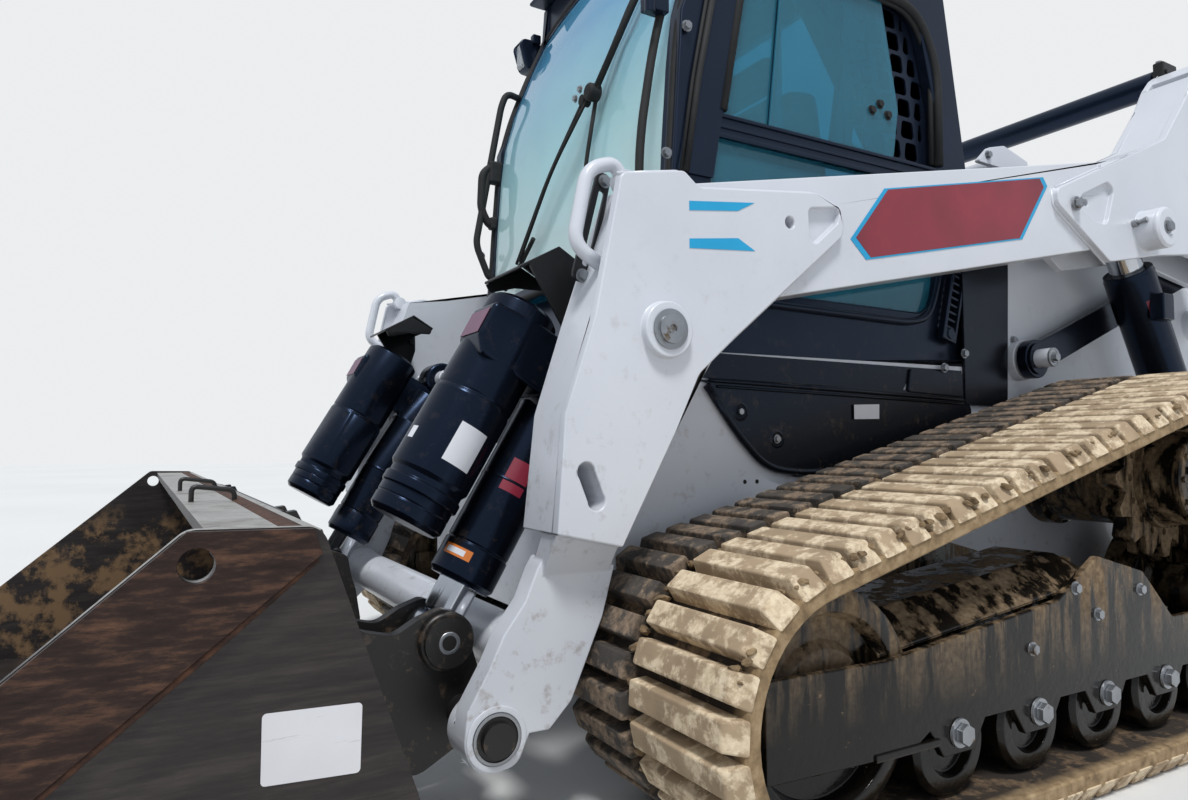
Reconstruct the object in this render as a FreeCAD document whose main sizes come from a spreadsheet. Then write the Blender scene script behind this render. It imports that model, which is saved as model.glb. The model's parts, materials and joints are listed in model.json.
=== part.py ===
# Compact track loader with electric lift and tilt actuators.
# Millimetres. +X points to the bucket, +Y to the machine's left, +Z up. The ground is Z = 0 and
# the origin lies under the middle of the machine's length and width.
import math
import os

import FreeCAD
import Part
import Sketcher

Vector = FreeCAD.Vector
document = FreeCAD.newDocument("compact_track_loader")
sheet = document.addObject("Spreadsheet::Sheet", "sizes")
nodes = []


# Named sizes

class Size:
    """A number together with the spreadsheet expression that gives it."""

    def __init__(self, value, text):
        self.value = float(value)
        self.text = text

    def __add__(self, other):
        return Size(self.value + number(other), "(%s + %s)" % (self.text, words(other)))

    def __radd__(self, other):
        return Size(number(other) + self.value, "(%s + %s)" % (words(other), self.text))

    def __sub__(self, other):
        return Size(self.value - number(other), "(%s - %s)" % (self.text, words(other)))

    def __rsub__(self, other):
        return Size(number(other) - self.value, "(%s - %s)" % (words(other), self.text))

    def __mul__(self, other):
        return Size(self.value * number(other), "(%s * %s)" % (self.text, words(other)))

    def __rmul__(self, other):
        return Size(number(other) * self.value, "(%s * %s)" % (words(other), self.text))

    def __truediv__(self, other):
        return Size(self.value / number(other), "(%s / %s)" % (self.text, words(other)))

    def __neg__(self):
        return Size(-self.value, "(0 - %s)" % self.text)


def number(value):
    return value.value if isinstance(value, Size) else float(value)


def words(value):
    return value.text if isinstance(value, Size) else "(%.6f)" % float(value)


row_count = 0


def size(name, value):
    """Writes one driving size into the sheet and hands it back with its name."""
    global row_count
    row_count += 1
    cell = "A%d" % row_count
    sheet.set(cell, "%s" % value)
    sheet.setAlias(cell, name)
    return Size(value, "sizes." + name)


def bind(feature, name, value):
    """Sets one property of a feature from a number or from a named size."""
    if isinstance(value, Size):
        feature.setExpression(name, value.text)
    elif name.startswith(".Placement.Base."):
        setattr(feature.Placement.Base, name[-1], float(value))
    else:
        setattr(feature, name, float(value))


# Building blocks

serial = 0


def fresh(word):
    global serial
    serial += 1
    return "%s_%d" % (word, serial)


def origin_plane(body, role):
    return [item for item in body.Origin.OriginFeatures if item.Role == role][0]


def outline(role, points, depth):
    """A padded closed outline: points are (across, up) or (across, up, corner radius)."""
    body = document.addObject("PartDesign::Body", fresh("body"))
    sketch = body.newObject("Sketcher::SketchObject", fresh("sketch"))
    sketch.AttachmentSupport = [(origin_plane(body, role), "")]
    sketch.MapMode = "FlatFace"
    flat = [(number(p[0]), number(p[1])) for p in points]
    count = len(flat)
    for i in range(count):
        a = flat[i]
        b = flat[(i + 1) % count]
        sketch.addGeometry(Part.LineSegment(Vector(a[0], a[1], 0), Vector(b[0], b[1], 0)), False)
    for i in range(count):
        sketch.addConstraint(Sketcher.Constraint("Coincident", i, 2, (i + 1) % count, 1))
    for i in range(count):
        for kind, value in (("DistanceX", points[i][0]), ("DistanceY", points[i][1])):
            line = sketch.addConstraint(Sketcher.Constraint(kind, i, 1, number(value)))
            if isinstance(value, Size):
                sketch.setExpression("Constraints[%d]" % line, value.text)
    pad = body.newObject("PartDesign::Pad", fresh("pad"))
    pad.Profile = sketch
    bind(pad, "Length", depth)
    rounds = {}
    for i in range(count):
        if len(points[i]) > 2:
            rounds.setdefault(words(points[i][2]), []).append(i)
    if rounds:
        document.recompute()
    base = pad
    for key in rounds:
        radius = points[rounds[key][0]][2]
        spots = []
        for i in rounds[key]:
            a = flat[i - 1]
            b = flat[i]
            c = flat[(i + 1) % count]
            spots.append(b)
        names = corner_edges(base.Shape, role, spots)
        fillet = body.newObject("PartDesign::Fillet", fresh("fillet"))
        fillet.Base = (base, names)
        bind(fillet, "Radius", radius)
        document.recompute()
        base = fillet
    return body


def corner_edges(shape, role, spots):
    """Names of the straight edges that stand on the given outline corners."""
    names = []
    for index, edge in enumerate(shape.Edges):
        ends = [vertex.Point for vertex in edge.Vertexes]
        if len(ends) < 2:
            continue
        if role == "XZ_Plane":
            flat = [(p.x, p.z) for p in ends]
        elif role == "YZ_Plane":
            flat = [(p.y, p.z) for p in ends]
        else:
            flat = [(p.x, p.y) for p in ends]
        if math.dist(flat[0], flat[1]) > 0.001:
            continue
        for spot in spots:
            if math.dist(flat[0], spot) < 0.01:
                names.append("Edge%d" % (index + 1))
                break
    return names


def plate(points, outer, thick):
    """A plate cut to an X, Z outline. Its left face lies at Y = outer."""
    body = outline("XZ_Plane", points, thick)
    bind(body, ".Placement.Base.y", outer)
    return body


def bent(points, start, depth):
    """A length of folded section, its Y, Z outline run along +X from start."""
    body = outline("YZ_Plane", points, depth)
    bind(body, ".Placement.Base.x", start)
    return body


def block(x, y, z):
    """A box from its (low, high) pairs."""
    box = document.addObject("Part::Box", fresh("box"))
    bind(box, "Length", x[1] - x[0])
    bind(box, "Width", y[1] - y[0])
    bind(box, "Height", z[1] - z[0])
    bind(box, ".Placement.Base.x", x[0])
    bind(box, ".Placement.Base.y", y[0])
    bind(box, ".Placement.Base.z", z[0])
    return box


TURNS = {
    "x": FreeCAD.Rotation(Vector(0, 1, 0), 90),
    "y": FreeCAD.Rotation(Vector(1, 0, 0), -90),
    "z": FreeCAD.Rotation(),
}


def drum(axis, radius, start, length):
    """A cylinder that runs from a start point along +X, +Y or +Z."""
    item = document.addObject("Part::Cylinder", fresh("drum"))
    bind(item, "Radius", radius)
    bind(item, "Height", length)
    item.Placement = FreeCAD.Placement(Vector(), TURNS[axis])
    for letter, value in zip("xyz", start):
        bind(item, ".Placement.Base." + letter, value)
    return item


def cone(axis, first, last, start, length):
    item = document.addObject("Part::Cone", fresh("cone"))
    bind(item, "Radius1", first)
    bind(item, "Radius2", last)
    bind(item, "Height", length)
    item.Placement = FreeCAD.Placement(Vector(), TURNS[axis])
    for letter, value in zip("xyz", start):
        bind(item, ".Placement.Base." + letter, value)
    return item


def leaning(a, b, side, radius, start, length):
    """A cylinder in the plane Y = side, laid along the line from pin a to pin b."""
    item = document.addObject("Part::Cylinder", fresh("drum"))
    bind(item, "Radius", radius)
    bind(item, "Height", length)
    run = math.atan2(number(b[0]) - number(a[0]), number(b[1]) - number(a[1]))
    along = (math.sin(run), math.cos(run))
    item.Placement = FreeCAD.Placement(Vector(), FreeCAD.Rotation(Vector(0, 1, 0), math.degrees(run)))
    bind(item, ".Placement.Base.x", a[0] + along[0] * number(start))
    bind(item, ".Placement.Base.y", side)
    bind(item, ".Placement.Base.z", a[1] + along[1] * number(start))
    return item


def joined(*items):
    fuse = document.addObject("Part::MultiFuse", fresh("fuse"))
    fuse.Shapes = list(items)
    return fuse


def carved(base, *tools):
    result = base
    for tool in tools:
        cut = document.addObject("Part::Cut", fresh("cut"))
        cut.Base = result
        cut.Tool = tool
        result = cut
    return result


def mirrored(item):
    """The same piece on the machine's right side."""
    twin = document.addObject("Part::Mirroring", fresh("mirror"))
    twin.Source = item
    twin.Normal = Vector(0, 1, 0)
    twin.Base = Vector(0, 0, 0)
    return twin


def group(*items):
    compound = document.addObject("Part::Compound", fresh("group"))
    compound.Links = list(items)
    return compound


def both(item):
    """A piece and its twin on the right side, as solids that do not touch."""
    return group(item, mirrored(item))


def node(label, item):
    item.Label = label
    nodes.append(item)
    return item


# Driving sizes

seat_gap = size("seat_gap", 0.3)
run_gap = size("run_gap", 6)
pin_round = size("pin_round", 26)
pin_play = size("pin_play", 0.4)

frame_skin = size("frame_skin", 16)
cab_half = size("cab_half", 483.7)
frame_half = cab_half + frame_skin + seat_gap
track_in = frame_half + size("track_gap", 40)
track_wide = size("track_wide", 450)
belt_thick = size("belt_thick", 28)
lug_tall = size("lug_tall", 26)
idler_front_x = size("idler_front_x", 333)
idler_round = size("idler_round", 173)
idler_rear_x = size("idler_rear_x", -1120)
sprocket_x = size("sprocket_x", -909)
sprocket_z = size("sprocket_z", 529)
sprocket_round = size("sprocket_round", 191)
lug_count = size("lug_count", 58)

frame_front = size("frame_front", 430)
frame_rear = size("frame_rear", -1745.7)
frame_low = size("frame_low", 225)

arm_in = frame_half + size("arm_gap", 60)
arm_out = arm_in + size("arm_wide", 140)
arm_skin = size("arm_skin", 20)

front_pin_x = size("front_pin_x", 722)
front_pin_z = size("front_pin_z", 170)
lift_pin_x = size("lift_pin_x", -1040)
lift_pin_z = size("lift_pin_z", 1153)
lift_foot_x = size("lift_foot_x", -1439)
lift_foot_z = size("lift_foot_z", 460)
lift_side = (arm_in + arm_out) / 2
lift_tube = size("lift_tube", 57)
lift_rod = size("lift_rod", 40)
link_pin_x = size("link_pin_x", -800)
link_pin_z = size("link_pin_z", 826)
arm_pivot_x = size("arm_pivot_x", -1600)
arm_pivot_z = size("arm_pivot_z", 1140)
rear_pin_x = size("rear_pin_x", -1400)
rear_pin_z = size("rear_pin_z", 1380)
rear_foot_x = size("rear_foot_x", -1700)
rear_foot_z = size("rear_foot_z", 985)
tube_x = size("tube_x", -1438)
tube_z = size("tube_z", 1690)
tube_round = size("tube_round", 38)

tilt_pin_x = size("tilt_pin_x", 455)
tilt_pin_z = size("tilt_pin_z", 790)
tilt_eye_x = size("tilt_eye_x", 750)
tilt_eye_z = size("tilt_eye_z", 285)
tilt_side = size("tilt_side", 430)
tilt_tube = size("tilt_tube", 58)
tilt_rod = size("tilt_rod", 36)
motor_round = size("motor_round", 66)
motor_reach = size("motor_reach", 140)

cab_floor = size("cab_floor", 760)
cab_top = size("cab_top", 2065)
cab_post = size("cab_post", 60)
roof_thick = size("roof_thick", 70)
glass_thick = size("glass_thick", 8)
door_low = size("door_low", 985)
door_thick = size("door_thick", 34)

bucket_half = size("bucket_half", 1006)
bucket_skin = size("bucket_skin", 12)
bucket_tip_x = size("bucket_tip_x", 1812)
tail_x = size("tail_x", -1812)

lift_pin = (lift_pin_x, lift_pin_z)
lift_foot = (lift_foot_x, lift_foot_z)
link_pin = (link_pin_x, link_pin_z)
arm_pivot = (arm_pivot_x, arm_pivot_z)
rear_pin = (rear_pin_x, rear_pin_z)
rear_foot = (rear_foot_x, rear_foot_z)
front_pin = (front_pin_x, front_pin_z)
tilt_pin = (tilt_pin_x, tilt_pin_z)
tilt_eye = (tilt_eye_x, tilt_eye_z)
sprocket_at = (sprocket_x, sprocket_z)
tread = belt_thick + lug_tall
idler_front = (idler_front_x, idler_round + tread)
idler_rear = (idler_rear_x, idler_round + tread)
track_out = track_in + track_wide


def pin(at, radius, low, high):
    """A round piece on a cross axis, between two Y places."""
    return drum("y", radius, (at[0], low, at[1]), high - low)


# Undercarriage

def loop_stretches(extra):
    """Lines and arcs of the belt's run over its three wheels, grown outward by extra."""
    wheels = [
        (number(idler_rear[0]), number(idler_rear[1]), number(idler_round)),
        (number(idler_front[0]), number(idler_front[1]), number(idler_round)),
        (number(sprocket_x), number(sprocket_z), number(sprocket_round)),
    ]
    lines = []
    for i in range(3):
        ax, az, ar = wheels[i]
        bx, bz, br = wheels[(i + 1) % 3]
        ar += extra
        br += extra
        far = math.hypot(bx - ax, bz - az)
        heading = math.atan2(bz - az, bx - ax)
        lean = math.asin((br - ar) / far)
        side = heading - math.pi / 2 - lean
        out = (math.cos(side), math.sin(side))
        lines.append(((ax + ar * out[0], az + ar * out[1]), (bx + br * out[0], bz + br * out[1]), side))
    return wheels, lines


def loop_face(extra):
    wheels, lines = loop_stretches(extra)
    edges = []
    for i in range(3):
        start, end, side = lines[i]
        edges.append(Part.LineSegment(Vector(start[0], 0, start[1]), Vector(end[0], 0, end[1])).toShape())
        next_start, next_side = lines[(i + 1) % 3][0], lines[(i + 1) % 3][2]
        while next_side < side:
            next_side += 2 * math.pi
        x, z, r = wheels[(i + 1) % 3]
        middle = (side + next_side) / 2
        top = Vector(x + (r + extra) * math.cos(middle), 0, z + (r + extra) * math.sin(middle))
        edges.append(Part.Arc(Vector(end[0], 0, end[1]), top, Vector(next_start[0], 0, next_start[1])).toShape())
    return Part.Face(Part.Wire(edges))


def loop_places(extra, count, offset):
    """Evenly spaced places on the grown loop, each with its outward direction."""
    wheels, lines = loop_stretches(extra)
    runs = []
    for i in range(3):
        start, end, side = lines[i]
        runs.append(("line", start, end, side, math.dist(start, end)))
        next_side = lines[(i + 1) % 3][2]
        while next_side < side:
            next_side += 2 * math.pi
        x, z, r = wheels[(i + 1) % 3]
        runs.append(("arc", (x, z), r + extra, (side, next_side), (r + extra) * (next_side - side)))
    whole = sum(run[4] for run in runs)
    places = []
    for k in range(count):
        left = (k + offset) * whole / count
        for run in runs:
            if left > run[4]:
                left -= run[4]
                continue
            if run[0] == "line":
                t = left / run[4]
                x = run[1][0] + (run[2][0] - run[1][0]) * t
                z = run[1][1] + (run[2][1] - run[1][1]) * t
                places.append((x, z, run[3]))
            else:
                angle = run[3][0] + left / run[2]
                x = run[1][0] + run[2] * math.cos(angle)
                z = run[1][1] + run[2] * math.sin(angle)
                places.append((x, z, angle))
            break
    return places


def track_shape():
    low = number(track_in)
    wide = number(track_wide)
    thick = number(belt_thick)
    tall = number(lug_tall)
    belt = loop_face(thick).extrude(Vector(0, wide - 16, 0))
    belt.translate(Vector(0, low + 8, 0))
    inside = loop_face(0).extrude(Vector(0, wide, 0))
    inside.translate(Vector(0, low, 0))
    belt = belt.cut(inside)
    lugs = []
    # columns: Y start and Y end as shares of the width, half length, place along the pitch
    for start, end, half, offset in ((0.0, 0.43, 26, 0.0), (0.47, 1.0, 27, 0.5)):
        for x, z, angle in loop_places(thick, int(number(lug_count)), offset):
            lug = Part.makeBox(2 * half, wide * (end - start), tall + 6, Vector(-half, low + wide * start, -6))
            turn = FreeCAD.Rotation(Vector(0, 1, 0), 90 - math.degrees(angle))
            lug.Placement = FreeCAD.Placement(Vector(x, 0, z), turn)
            lugs.append(lug)
    return belt.multiFuse(lugs)


left_track = node("left_track", document.addObject("Part::Feature", "track_left"))
left_track.Shape = track_shape()
node("right_track", mirrored(left_track))

wheel_in = track_in + 60
wheel_out = track_out - 60


def wheel(at, radius, hub):
    return joined(pin(at, radius - seat_gap, wheel_in, wheel_in + 90),
                  pin(at, radius - seat_gap, wheel_out - 90, wheel_out),
                  pin(at, hub, wheel_in + 80, wheel_out - 80))


node("front_idlers", both(wheel(idler_front, idler_round, size("idler_hub", 90))))
node("rear_idlers", both(wheel(idler_rear, idler_round, size("rear_idler_hub", 88))))


def sprocket():
    web_in = track_in + 190
    disc = pin(sprocket_at, sprocket_round - 22, web_in, web_in + 44)
    teeth = []
    count = 15
    for k in range(count):
        angle = 2 * math.pi * k / count
        reach = number(sprocket_round) - 24
        x = sprocket_x + math.cos(angle) * reach
        z = sprocket_z + math.sin(angle) * reach
        teeth.append(pin((x, z), 21, web_in, web_in + 44))
    return joined(disc, *teeth)


node("drive_sprockets", both(sprocket()))
node("final_drives", both(joined(
    pin(sprocket_at, size("drive_round", 128), frame_half + seat_gap, track_in + 190 - seat_gap),
    pin(sprocket_at, size("drive_face", 112), track_in + 234 + seat_gap, track_in + 330))))

roller_round = size("roller_round", 82)
roller_first = size("roller_first", 74)
roller_pitch = size("roller_pitch", 206)


def roller(number_along):
    at = (roller_first - roller_pitch * number_along, roller_round + tread + seat_gap)
    return joined(pin(at, roller_round, wheel_in, wheel_in + 80),
                  pin(at, roller_round, wheel_out - 80, wheel_out),
                  pin(at, 40, wheel_in + 70, wheel_out - 70))


rollers = [roller(k) for k in range(5)]
node("bottom_rollers", group(*[part for item in rollers for part in (item, mirrored(item))]))

rail_out = wheel_out + 14
rail_skin = size("rail_skin", 14)


def rail_plate(outer):
    """One side plate of a track frame, with a lobe under each roller's bolt."""
    axle = tread + roller_round + 20
    lobes = []
    for k in range(5):
        x = roller_first - roller_pitch * k
        lobes = [(x - 66, axle + 14), (x - 36, axle - 30), (x + 36, axle - 30), (x + 66, axle + 14)] + lobes
    nose = idler_front_x + 132
    return plate([(nose, 153), (nose, 289, 8), (idler_front_x - 102, 286, 30), (sprocket_x + 711, sprocket_z - 195, 40),
                  (sprocket_x + 583, sprocket_z - 126, 20), (sprocket_x + 433, sprocket_z - 164, 20),
                  (sprocket_x + 330, sprocket_z - 260, 20), (idler_rear_x + 60, 268),
                  (idler_rear_x - 50, 262, 18), (idler_rear_x - 50, 176, 18), (idler_rear_x + 140, 140)]
                 + lobes + [(idler_front_x - 150, 146)], outer, rail_skin)


def track_frame():
    outer = rail_plate(rail_out)
    inner = rail_plate(wheel_in - 14 + rail_skin)
    deck = block((sprocket_x + 360, idler_front_x - 240), (wheel_in - 10, rail_out - 5), (268, 283))
    beams = [block((x, x + 90), (frame_half + seat_gap, wheel_in), (284, 360))
             for x in (idler_front_x - 330, sprocket_x + 440)]
    return joined(outer, inner, deck, *beams)


node("track_frames", both(track_frame()))


# Main frame

tower_low = size("tower_low", 420)
tower_top = size("tower_top", 1165)


def frame_side():
    """One side plate with the rear tower that carries the arm linkage."""
    side = plate([(frame_front, frame_low, 60), (frame_front, 600, 40), (frame_front - 140, 790, 40),
                  (-640, 800, 30), (-720, tower_top, 30), (-1560, tower_top, 60), (frame_rear, tower_top - 90, 40),
                  (frame_rear, 330, 60), (-1400, frame_low, 60)], frame_half, frame_skin)
    # columns: pin place, radius, Y of the boss's outer face
    bosses = [
        pin(link_pin, 52, frame_half - 4, arm_in - 38),
        pin(rear_foot, 48, frame_half - 4, arm_in + 28),
        pin(lift_foot, 40, frame_half - 4, lift_side - 36),
    ]
    pins = [
        pin(link_pin, 24, frame_half - 4, arm_in + 36),
        pin(rear_foot, 26, frame_half - 4, lift_side + 44),
        pin(lift_foot, 26, frame_half - 4, lift_side + 44),
    ]
    return joined(side, *(bosses + pins))


left_side = frame_side()
right_side = mirrored(left_side)
inner_half = frame_half - frame_skin
floor_plate = block((-1400, frame_front - 4), (-inner_half - 2, inner_half + 2), (frame_low + 4, frame_low + 16))
front_plate = block((frame_front - 20, frame_front - 4), (-inner_half - 2, inner_half + 2), (frame_low + 10, 610))
middle_wall = block((-700, -684), (-inner_half - 2, inner_half + 2), (frame_low + 10, 790))
rear_sill = block((frame_rear, -1700), (-inner_half - 2, inner_half + 2), (340, 420))
node("main_frame", joined(left_side, right_side, floor_plate, front_plate, middle_wall, rear_sill))
node("battery_pack", block((-1560, -760), (-400, 400), (frame_low + 16 + seat_gap, 1080)))

cover_out = frame_half + 14
cover = plate([(250, 790, 10), (214, 733), (141, 635, 60), (76, 572, 40), (-9, 538, 30), (-560, 538, 30),
               (-600, 700, 30), (-740, 700, 20), (-760, 1100, 20), (-640, 1140, 20), (-566, 1040, 20), (-566, 790, 10)],
              cover_out, 14 - seat_gap)
node("side_covers", both(cover))


# Cab

door_x = size("door_x", 335)
cab_front = size("cab_front", 290)
cab_front_top = size("cab_front_top", 100)
cab_rear = size("cab_rear", -660)
cab_rear_top = size("cab_rear_top", -520)
sill = size("cab_sill", 1150)
roof_low = cab_top - roof_thick
rail_low = size("rail_low", 1245)
rail_high = rail_low + 45
window_top = size("window_top", 1700)
screen_front = size("screen_front", -230)


def lean(z, low, high):
    """X of a leaning cab edge at height z, given its X at the sill and at the roof."""
    share = (number(z) - number(sill)) / (number(roof_low) - number(sill))
    return low + (high - low) * share


def cab_side():
    """Pillars, sill and top rail of one side, with the window opening cut."""
    shell = plate([(392, cab_floor), (door_x - door_thick - 8, door_low - 4),
                   (door_x - door_thick - 41, (door_low + roof_low) / 2), (cab_front_top + 7, roof_low - 101),
                   (cab_front_top, roof_low - seat_gap),
                   (cab_rear_top, roof_low - seat_gap), (cab_rear, sill), (cab_rear, cab_floor + 60)], cab_half, 40)
    rear_low = (cab_rear + 162, rail_low - 240)
    rear_rail = (cab_rear + 143, rail_low)
    low_hole = [(cab_front - 66, rail_low - 315, 40), (cab_front - 121, rail_low), rear_rail, rear_low,
                (cab_rear + 180, rail_low - 320, 60)]
    high_hole = [(cab_front - 129, rail_high), (cab_front - 202, window_top, 40), (cab_rear + 205, window_top, 110),
                 (cab_rear + 137, rail_high + 145, 60), (cab_rear + 141, rail_high)]
    low_glass = plate([(cab_front - 66.3, rail_low - 314.7, 39.7), (cab_front - 121.3, rail_low - 0.3),
                       (cab_rear + 143.3, rail_low - 0.3), (cab_rear + 162.3, rail_low - 240),
                       (cab_rear + 180.3, rail_low - 319.7, 59.7)], cab_half - 8, glass_thick)
    high_glass = plate([(cab_front - 129.3, rail_high + 0.3), (cab_front - 202.3, window_top - 0.3, 39.7),
                        (screen_front + 4, window_top - 0.3), (screen_front + 4, rail_high + 0.3)],
                       cab_half - 8, glass_thick)
    screen = plate([(screen_front, window_top - 0.3), (cab_rear + 205.3, window_top - 0.3, 109.7),
                    (cab_rear + 137.3, rail_high + 145, 59.7), (cab_rear + 141.3, rail_high + 0.3),
                    (screen_front, rail_high + 0.3)], cab_half - 4, 6)
    slots = []
    for k in range(4):
        x = screen_front - 52 - (63 * k)
        for row in range(7):
            z = rail_high + 22 + (53 * row)
            if k < 3 or row < 6:
                slots.append(block((x, x + 48), (cab_half - 16, cab_half + 2), (z, z + 40)))
    screen = carved(screen, group(*slots))
    holes = [plate(points, cab_half + 10, 60) for points in (low_hole, high_hole)]
    return carved(shell, *holes), group(low_glass, high_glass), screen


side, side_glass, side_screen = cab_side()
inner = cab_half - 40
cab_floor_plate = block((cab_rear + 4, 385), (-inner - 2, inner + 2), (cab_floor + 60, cab_floor + 80))
rear_wall = plate([(cab_rear + 1, cab_floor + 62), (cab_rear + 1, sill), (cab_rear_top + 1, roof_low - 1),
                   (cab_rear_top + 41, roof_low - 1), (cab_rear + 41, sill), (cab_rear + 41, cab_floor + 62)],
                  inner + 2, (inner + 2) * 2)
rear_hole = block((cab_rear - 60, cab_rear_top + 90), (-360, 360), (sill + 130, roof_low - 90))
front_top = plate([(cab_front_top - 1, roof_low - 1), (cab_front_top - 51, roof_low - 1),
                   (cab_front_top - 45, roof_low - 100), (cab_front_top + 5, roof_low - 100)],
                  inner + 2, (inner + 2) * 2)
front_low = plate([(388, cab_floor + 62), (350, cab_floor + 62), (264, door_low - 6), (291, door_low - 6)],
                  inner + 2, (inner + 2) * 2)
node("cab_frame", joined(side, mirrored(side), cab_floor_plate, carved(rear_wall, rear_hole), front_top, front_low))
node("side_windows", both(side_glass))
node("side_screens", both(side_screen))
rear_glass = plate([(lean(sill + 131, cab_rear, cab_rear_top) + 20, sill + 131),
                    (lean(roof_low - 91, cab_rear, cab_rear_top) + 20, roof_low - 91),
                    (lean(roof_low - 91, cab_rear, cab_rear_top) + 28, roof_low - 91),
                    (lean(sill + 131, cab_rear, cab_rear_top) + 28, sill + 131)], 359.7, 719.4)
node("rear_window", rear_glass)
node("cab_roof", plate([(cab_front_top + 60, roof_low), (cab_front_top + 10, cab_top - 10, 20),
                        (-150, cab_top), (cab_rear_top - 20, cab_top - 20, 30), (cab_rear_top - 30, roof_low)],
                       cab_half + 6, (cab_half + 6) * 2))
seat_low = cab_floor + 80 + seat_gap
seat = joined(block((-380, -40), (-200, 200), (seat_low, seat_low + 260)),
              plate([(-60, seat_low + 255), (-20, seat_low + 255), (-10, seat_low + 330, 30), (-330, seat_low + 350),
                     (-420, seat_low + 880, 40), (-500, seat_low + 880, 40), (-420, seat_low + 255)], 240, 480))
node("seat", seat)


def console():
    stick_y = cab_half - 155
    base = block((-330, 90), (stick_y - 65, stick_y + 65), (seat_low, seat_low + 420))
    stick = drum("z", 16, (40, stick_y, seat_low + 415), 110)
    grip = drum("z", 26, (40, stick_y, seat_low + 520), 110)
    return joined(base, stick, grip)


node("control_consoles", both(console()))
lamp_low = roof_low - 200
lamp = plate([(cab_front_top + 20, lamp_low, 20), (cab_front_top + 85, lamp_low, 20),
              (cab_front_top + 75, lamp_low + 95, 20), (cab_front_top, lamp_low + 95, 20)],
             cab_half + seat_gap + 62, 62)
node("head_lamps", both(lamp))
mast_x = lean(sill + 180, cab_rear, cab_rear_top) - 17.2
node("antenna", joined(drum("z", 18, (mast_x, 380, sill + 180), 70), drum("z", 4, (mast_x, 380, sill + 240), 640)))


# Cab door

hinge_y = size("hinge_y", 484)
hinge_x = door_x + 2


def door_slice(grow_low, grow_high, front, thick):
    """The door's bowed side outline between two heights."""
    low = door_low + grow_low
    high = roof_low - 100 - grow_high
    middle = (door_low + roof_low) / 2
    return [(front - 6, low), (front - 40, middle), (cab_front_top + 42, high),
            (cab_front_top + 42 - thick, high), (front - 40 - thick, middle), (front - 6 - thick, low)]


door_half = size("door_half", 470)
door_outer = plate(door_slice(0, 0, door_x, door_thick), door_half, door_half * 2)
hole_half = door_half - 66
door_hole = block((cab_front_top - 90, door_x + 60), (-hole_half, hole_half), (door_low + 55, roof_low - 155))
door_mid = (door_low + roof_low) / 2
knuckles = [joined(drum("z", 11, (hinge_x, hinge_y, z), 60), block((x, hinge_x), (door_half - 8, hinge_y), (z + 10, z + 50)))
            for x, z in ((door_x - 30, door_low + 50), (door_x - 60, door_mid - 30))]
node("door_frame", joined(carved(door_outer, door_hole), *knuckles))
door_pane = plate(door_slice(55.3, 55.3, door_x - 12, glass_thick), hole_half - seat_gap, (hole_half - seat_gap) * 2)
node("door_glass", door_pane)
bar_y = 0 - (door_half - 18)
bar_low = (door_x + 4, door_low + 215)
bar_mid = (door_x - 15, door_mid)
bar_high = (door_x - 85, roof_low - 316)
node("door_handle", joined(
    plate([(bar_low[0] + 16, bar_low[1] - 60), (bar_low[0] + 12, bar_low[1]), (bar_mid[0] + 12, bar_mid[1]),
           (bar_high[0] + 12, bar_high[1]), (bar_high[0] - 11, bar_high[1]), (bar_mid[0] - 11, bar_mid[1]),
           (bar_low[0] - 11, bar_low[1]), (bar_low[0] - 7, bar_low[1] - 60)], bar_y + 11, 22),
    drum("x", 9, (door_x - 15.8, bar_y, door_low + 160), 24),
    drum("x", 9, (door_x - 106, bar_y, roof_low - 320), 24)))


def pane_x(z):
    """X of the pane's front face above its bend."""
    middle = (door_low + roof_low) / 2
    share = (number(z) - number(middle)) / (number(roof_low) - 155.3 - number(middle))
    return (door_x - 52) + (cab_front_top + 42 - door_x + 52) * share


wiper_top = roof_low - 157
node("door_wiper", joined(
    plate([(pane_x(wiper_top) + 0.5, wiper_top), (pane_x(wiper_top - 338) + 0.5, wiper_top - 338),
           (pane_x(wiper_top - 338) + 9, wiper_top - 338), (pane_x(wiper_top) + 9, wiper_top)], 8, 16),
    drum("x", 16, (pane_x(wiper_top - 33) + 1, 0, wiper_top - 18), 32)))

# Rear

tail_half = size("tail_half", 470)
gate = plate([(tail_x + 8, 400, 20), (tail_x, 700), (tail_x, 1000), (tail_x + 40, 1255, 30),
              (tail_x + 66, 1255), (tail_x + 66, 400)], tail_half, tail_half * 2)
gate_pins = [drum("z", 13, (tail_x + 22, tail_half, z), 80) for z in (600, 920)]
louvres = [block((tail_x - 10, tail_x + 80), (-330, 330), (560 + 52 * k, 588 + 52 * k)) for k in range(10)]
node("tailgate", carved(joined(gate, *gate_pins), group(*louvres)))
lid_front = size("lid_front", -740)
lid_low = size("lid_low", 1260)
lid = plate([(lid_front, lid_low), (lid_front, lid_low + 110, 30), (-1500, lid_low + 70, 200),
             (tail_x + 90, lid_low + 10), (tail_x + 90, lid_low)], tail_half, tail_half * 2)
node("rear_lid", joined(lid, *[drum("y", 9, (lid_front, y, lid_low), 90) for y in (-390, 300)]))
node("tail_frame", joined(block((-1700, -690), (-inner_half + seat_gap, -inner_half + 40), (1090, lid_low - seat_gap)),
                          block((-1700, -690), (inner_half - 40, inner_half - seat_gap), (1090, lid_low - seat_gap)),
                          block((-1700, -1660), (-inner_half + 2, inner_half - 2), (1180, lid_low - seat_gap)),
                          block((-730, -690), (-inner_half + 2, inner_half - 2), (1180, lid_low - seat_gap))))
node("tail_lamps", both(block((frame_rear - 40, frame_rear - seat_gap), (frame_half - 10, frame_half + 70), (560, 700))))


# Lift arms

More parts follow.
